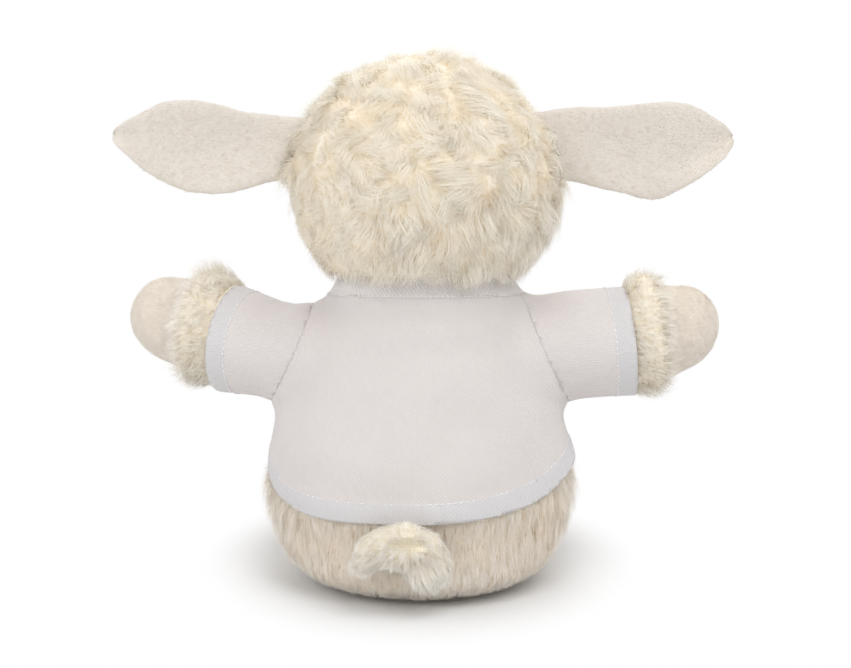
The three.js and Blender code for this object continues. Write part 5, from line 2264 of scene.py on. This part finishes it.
@dataclass
class Tail:
    """A tousled tail of longer, whiter fur that shows its backing where the hairs part."""

    arch: tuple[Spot, ...] = (
        (18.5, 53.5, 20), (17, 55.0, 25), (12.5, 56.5, 28.2), (5, 57.2, 30.0), (-3, 56.8, 27.0),
        (-5.5, 55.5, 22), (-5.5, 54, 18),
    )
    thickness: tuple[float, ...] = (3.4, 3.6, 4.0, 4.2, 4.0, 3.8, 3.4)
    lobes: tuple[tuple[Spot, Spot], ...] = (
        ((7.5, 52.5, 24.2), (13.0, 7.4, 6.4)),
        ((-1.5, 54.5, 17.4), (5.8, 4.8, 5.0)),
        ((5.5, 50.5, 26.4), (7.0, 5.5, 5.0)),
    )
    hollow: tuple[Spot, Spot] = ((4.0, 62.5, 27.9), (7.8, 4.2, 2.0))
    parting: Spot = (4.0, 60.0, 28.0)
    seam: Spot = (4.0, 54.0, 34.0)  # where it is sewn on
    loose: Spot = (4.0, 54.0, 22.0)  # from where it moves freely
    fur: Coat = Coat(
        length=6.4, density=7.5, width=0.17, lock=1.6, lift=0.34, gather=0.14,
        swirl=0.22, whorl=10, unruly=0.2, spread=0.35, steps=4, round=0.95, streak=0.1,
    )

    def build(self) -> None:
        """Makes the tail."""
        parts = [stuffed_tube(self.arch, self.thickness)] + [ellipsoid(*lobe) for lobe in self.lobes]
        skin = hollowed(joined(parts, 3.0), ellipsoid(*self.hollow), 1.5)
        points, quads = surface_of(skin, (-12, 42, 8), (28, 66, 36), 0.9)
        piece = mesh_piece("tail_cloth", points, [quads])
        Workshop.dress(piece, BACKING, "fur")
        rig.padded(piece, fill=0.5)
        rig.replaces(piece, "tail_skin")
        patch = FurPatch(self.fur, skin, 51, self.comb, self.keep, self.settle, self.trim)
        fur = patch.piece("tail_fur", points, quads, TAIL_FUR, "fur")
        for part in (piece, fur):
            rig.blend(part, "torso", "tail", **bend_between(self.seam, self.loose))

    def comb(self, p: Points, out: Points) -> Points:
        """Away from the parting, and down."""
        away = unit((p - np.array(self.parting)) * np.array([1, 0, 1]))
        return away * 1.5 + np.array([0.0, 0.0, -0.4])

    @staticmethod
    def trim(p: Points) -> Values:
        """Short over the arch, and longest below the parting, but for a notch in the lower edge.

        Args:
            p: points on the skin.

        Returns:
            The share of its length that the fur has at each.
        """
        low = 1 - ramp(p[:, 2], 21, 27.5)
        notch = 0.75 * np.exp(-(((p[:, 0] - 9.5) / 4) ** 2)) * (1 - ramp(p[:, 2], 19, 24))
        return 0.5 + (0.6 - notch) * low

    def keep(self, p: Points) -> Values:
        """Everywhere but at the parting, where the knitted ground shows.

        Args:
            p: points on the skin.

        Returns:
            The chance that a hair grows at each.
        """
        q = p - np.array(self.parting)
        curve = q[:, 2] - 0.1 * q[:, 0] + 0.03 * q[:, 0] ** 2
        gap = (np.hypot(q[:, 0] / 6.5, curve / 1.5) < 1) & (p[:, 1] > 53)
        return (~gap).astype(float)

    @staticmethod
    def settle(p: Points) -> Points:
        """Keeps hairs out of the body and off the floor.

        Args:
            p: points on the hairs.

        Returns:
            The same points, moved.
        """
        p = p.copy()
        body = torso(-1.0)
        near = body(p) < 0
        p[near] -= slope(body, p[near]) * body(p[near])[:, None]
        p[:, 2] = np.maximum(p[:, 2], 0.4)
        return p


# The studio


@dataclass(frozen=True)
class Lamp:
    """A square soft box that points at the toy."""

    name: str
    place: Spot
    size: float
    watts: float
    aim: Spot = (0, 0, 90)

    def build(self) -> None:
        """Makes the lamp."""
        light = bpy.data.lights.new(self.name, "AREA")
        light.size = self.size * MM
        light.energy = self.watts
        holder = bpy.data.objects.new(self.name, light)
        holder.location = Vector(self.place) * MM
        holder.rotation_euler = (Vector(self.aim) - Vector(self.place)).to_track_quat("-Z", "Y").to_euler()
        bpy.context.scene.collection.objects.link(holder)


@dataclass
class Studio:
    """A white sweep, soft lamps and the camera behind the toy."""

    elevation: float = 12.5
    distance: float = 1200.0
    target: Spot = (-2.0, 0.0, 88.7)
    view_width: float = 304.0
    film_width: float = 36.0
    sky: float = 0.7
    lamps: tuple[Lamp, ...] = (
        Lamp("key", (-380, 500, 1000), 850, 5.15),
        Lamp("fill", (650, 500, 500), 700, 1.85),
        Lamp("front", (0, -800, 700), 700, 2.6),
    )

    def build(self) -> None:
        """Makes the floor, the light and the camera."""
        scene = bpy.context.scene
        scene.view_settings.view_transform = "Standard"
        self.floor()
        self.world(scene)
        for lamp in self.lamps:
            lamp.build()
        camera = bpy.data.cameras.new("camera")
        camera.sensor_width = self.film_width
        camera.lens = self.film_width * self.distance / self.view_width
        camera.clip_end = 20
        holder = bpy.data.objects.new("camera", camera)
        rise = math.radians(self.elevation)
        away = Vector((0, math.cos(rise), math.sin(rise))) * self.distance
        holder.location = (Vector(self.target) + away) * MM
        holder.rotation_euler = (-away).to_track_quat("-Z", "Y").to_euler()
        scene.collection.objects.link(holder)
        scene.camera = holder

    def floor(self) -> None:
        """Makes the floor."""
        bpy.ops.mesh.primitive_plane_add(size=12, location=(0, 0, 0))
        plane = bpy.context.object
        plane.name = "studio_floor"
        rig.stage(plane)
        plane.data.materials.append(PAPER.material())

    def world(self, scene: bpy.types.Scene) -> None:
        """Makes even light from all round, and plain white behind the toy.

        Args:
            scene: the scene.
        """
        scene.world = bpy.data.worlds.new("studio")
        scene.world.use_nodes = True
        tree = scene.world.node_tree
        tree.nodes.clear()
        path = add_node(tree, "ShaderNodeLightPath")
        seen = path.outputs["Is Camera Ray"]
        for kind in ("Is Glossy Ray", "Is Transmission Ray"):
            either = {0: seen, 1: path.outputs[kind]}
            seen = add_node(tree, "ShaderNodeMath", {"operation": "MAXIMUM"}, either).outputs[0]
        soft = add_node(tree, "ShaderNodeBackground", {"Color": WHITE, "Strength": self.sky})
        white = add_node(tree, "ShaderNodeBackground", {"Color": WHITE, "Strength": 1.0})
        ends = {0: seen, 1: soft.outputs[0], 2: white.outputs[0]}
        both = add_node(tree, "ShaderNodeMixShader", links=ends)
        add_node(tree, "ShaderNodeOutputWorld", links={0: both.outputs[0]})


LEFT_EAR = Ear(
    Side.LEFT,
    upper=(
        (0, 167), (16, 167), (23, 167.7), (32, 168.7), (35.5, 169.5), (41, 171.4), (49, 173.0), (54, 173.3),
        (58.5, 173.0), (62.5, 172.1), (68, 169.3), (75.4, 165.4), (79.0, 162.9), (80.0, 161.0),
    ),
    lower=(
        (0, 145), (21.5, 144.5), (26, 143.7), (31, 142.1), (38.5, 140.1), (45, 139.6), (53, 140.3),
        (60, 142.7), (64, 144.5), (69.5, 148.2), (76, 154.2), (79.0, 157.0), (80.0, 159.0),
    ),
    cup=2.4,
    fold=0.0,
    ridge=1.0,
    seed=61,
)
RIGHT_EAR = Ear(
    Side.RIGHT,
    upper=(
        (0, 168), (11.5, 168.9), (18, 170.0), (25, 170.6), (33.5, 170.5), (41, 171.2), (51.5, 172.3),
        (56.5, 172.5), (63, 171.6), (68, 169.4), (72, 166.9), (76.5, 163.7), (78.6, 161.3), (79.0, 160.0),
    ),
    lower=(
        (0, 145), (23, 144.1), (28, 142.9), (33.5, 141.4), (41, 139.9), (45, 138.4), (50, 137.5), (54, 137.9),
        (59, 140.5), (66, 144.8), (71.5, 149.1), (76.5, 153.6), (78.6, 157.3), (79.0, 159.0),
    ),
    cup=2.0,
    fold=4.5,
    ridge=0.0,
    seed=71,
)


def main() -> None:
    """Builds the toy piece by piece."""
    logging.basicConfig(level=logging.INFO, format="%(name)s: %(message)s")
    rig.load()
    solid_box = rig.bounds()
    Studio().build()
    Torso().build()
    for side, seed in ((Side.LEFT, 81), (Side.RIGHT, 91)):
        Arm(side, seed, HANDS[side]).build()
        Leg(side, seed + 20).build()
    Shirt().build()
    Head().build()
    LEFT_EAR.build()
    RIGHT_EAR.build()
    Tail().build()
    boxes = [[[float(v) for v in corner] for corner in box] for box in (solid_box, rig.bounds())]
    with open("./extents.json", "w") as out:
        json.dump(boxes, out)
    LOG.info("done")


if __name__ == "__main__":
    main()
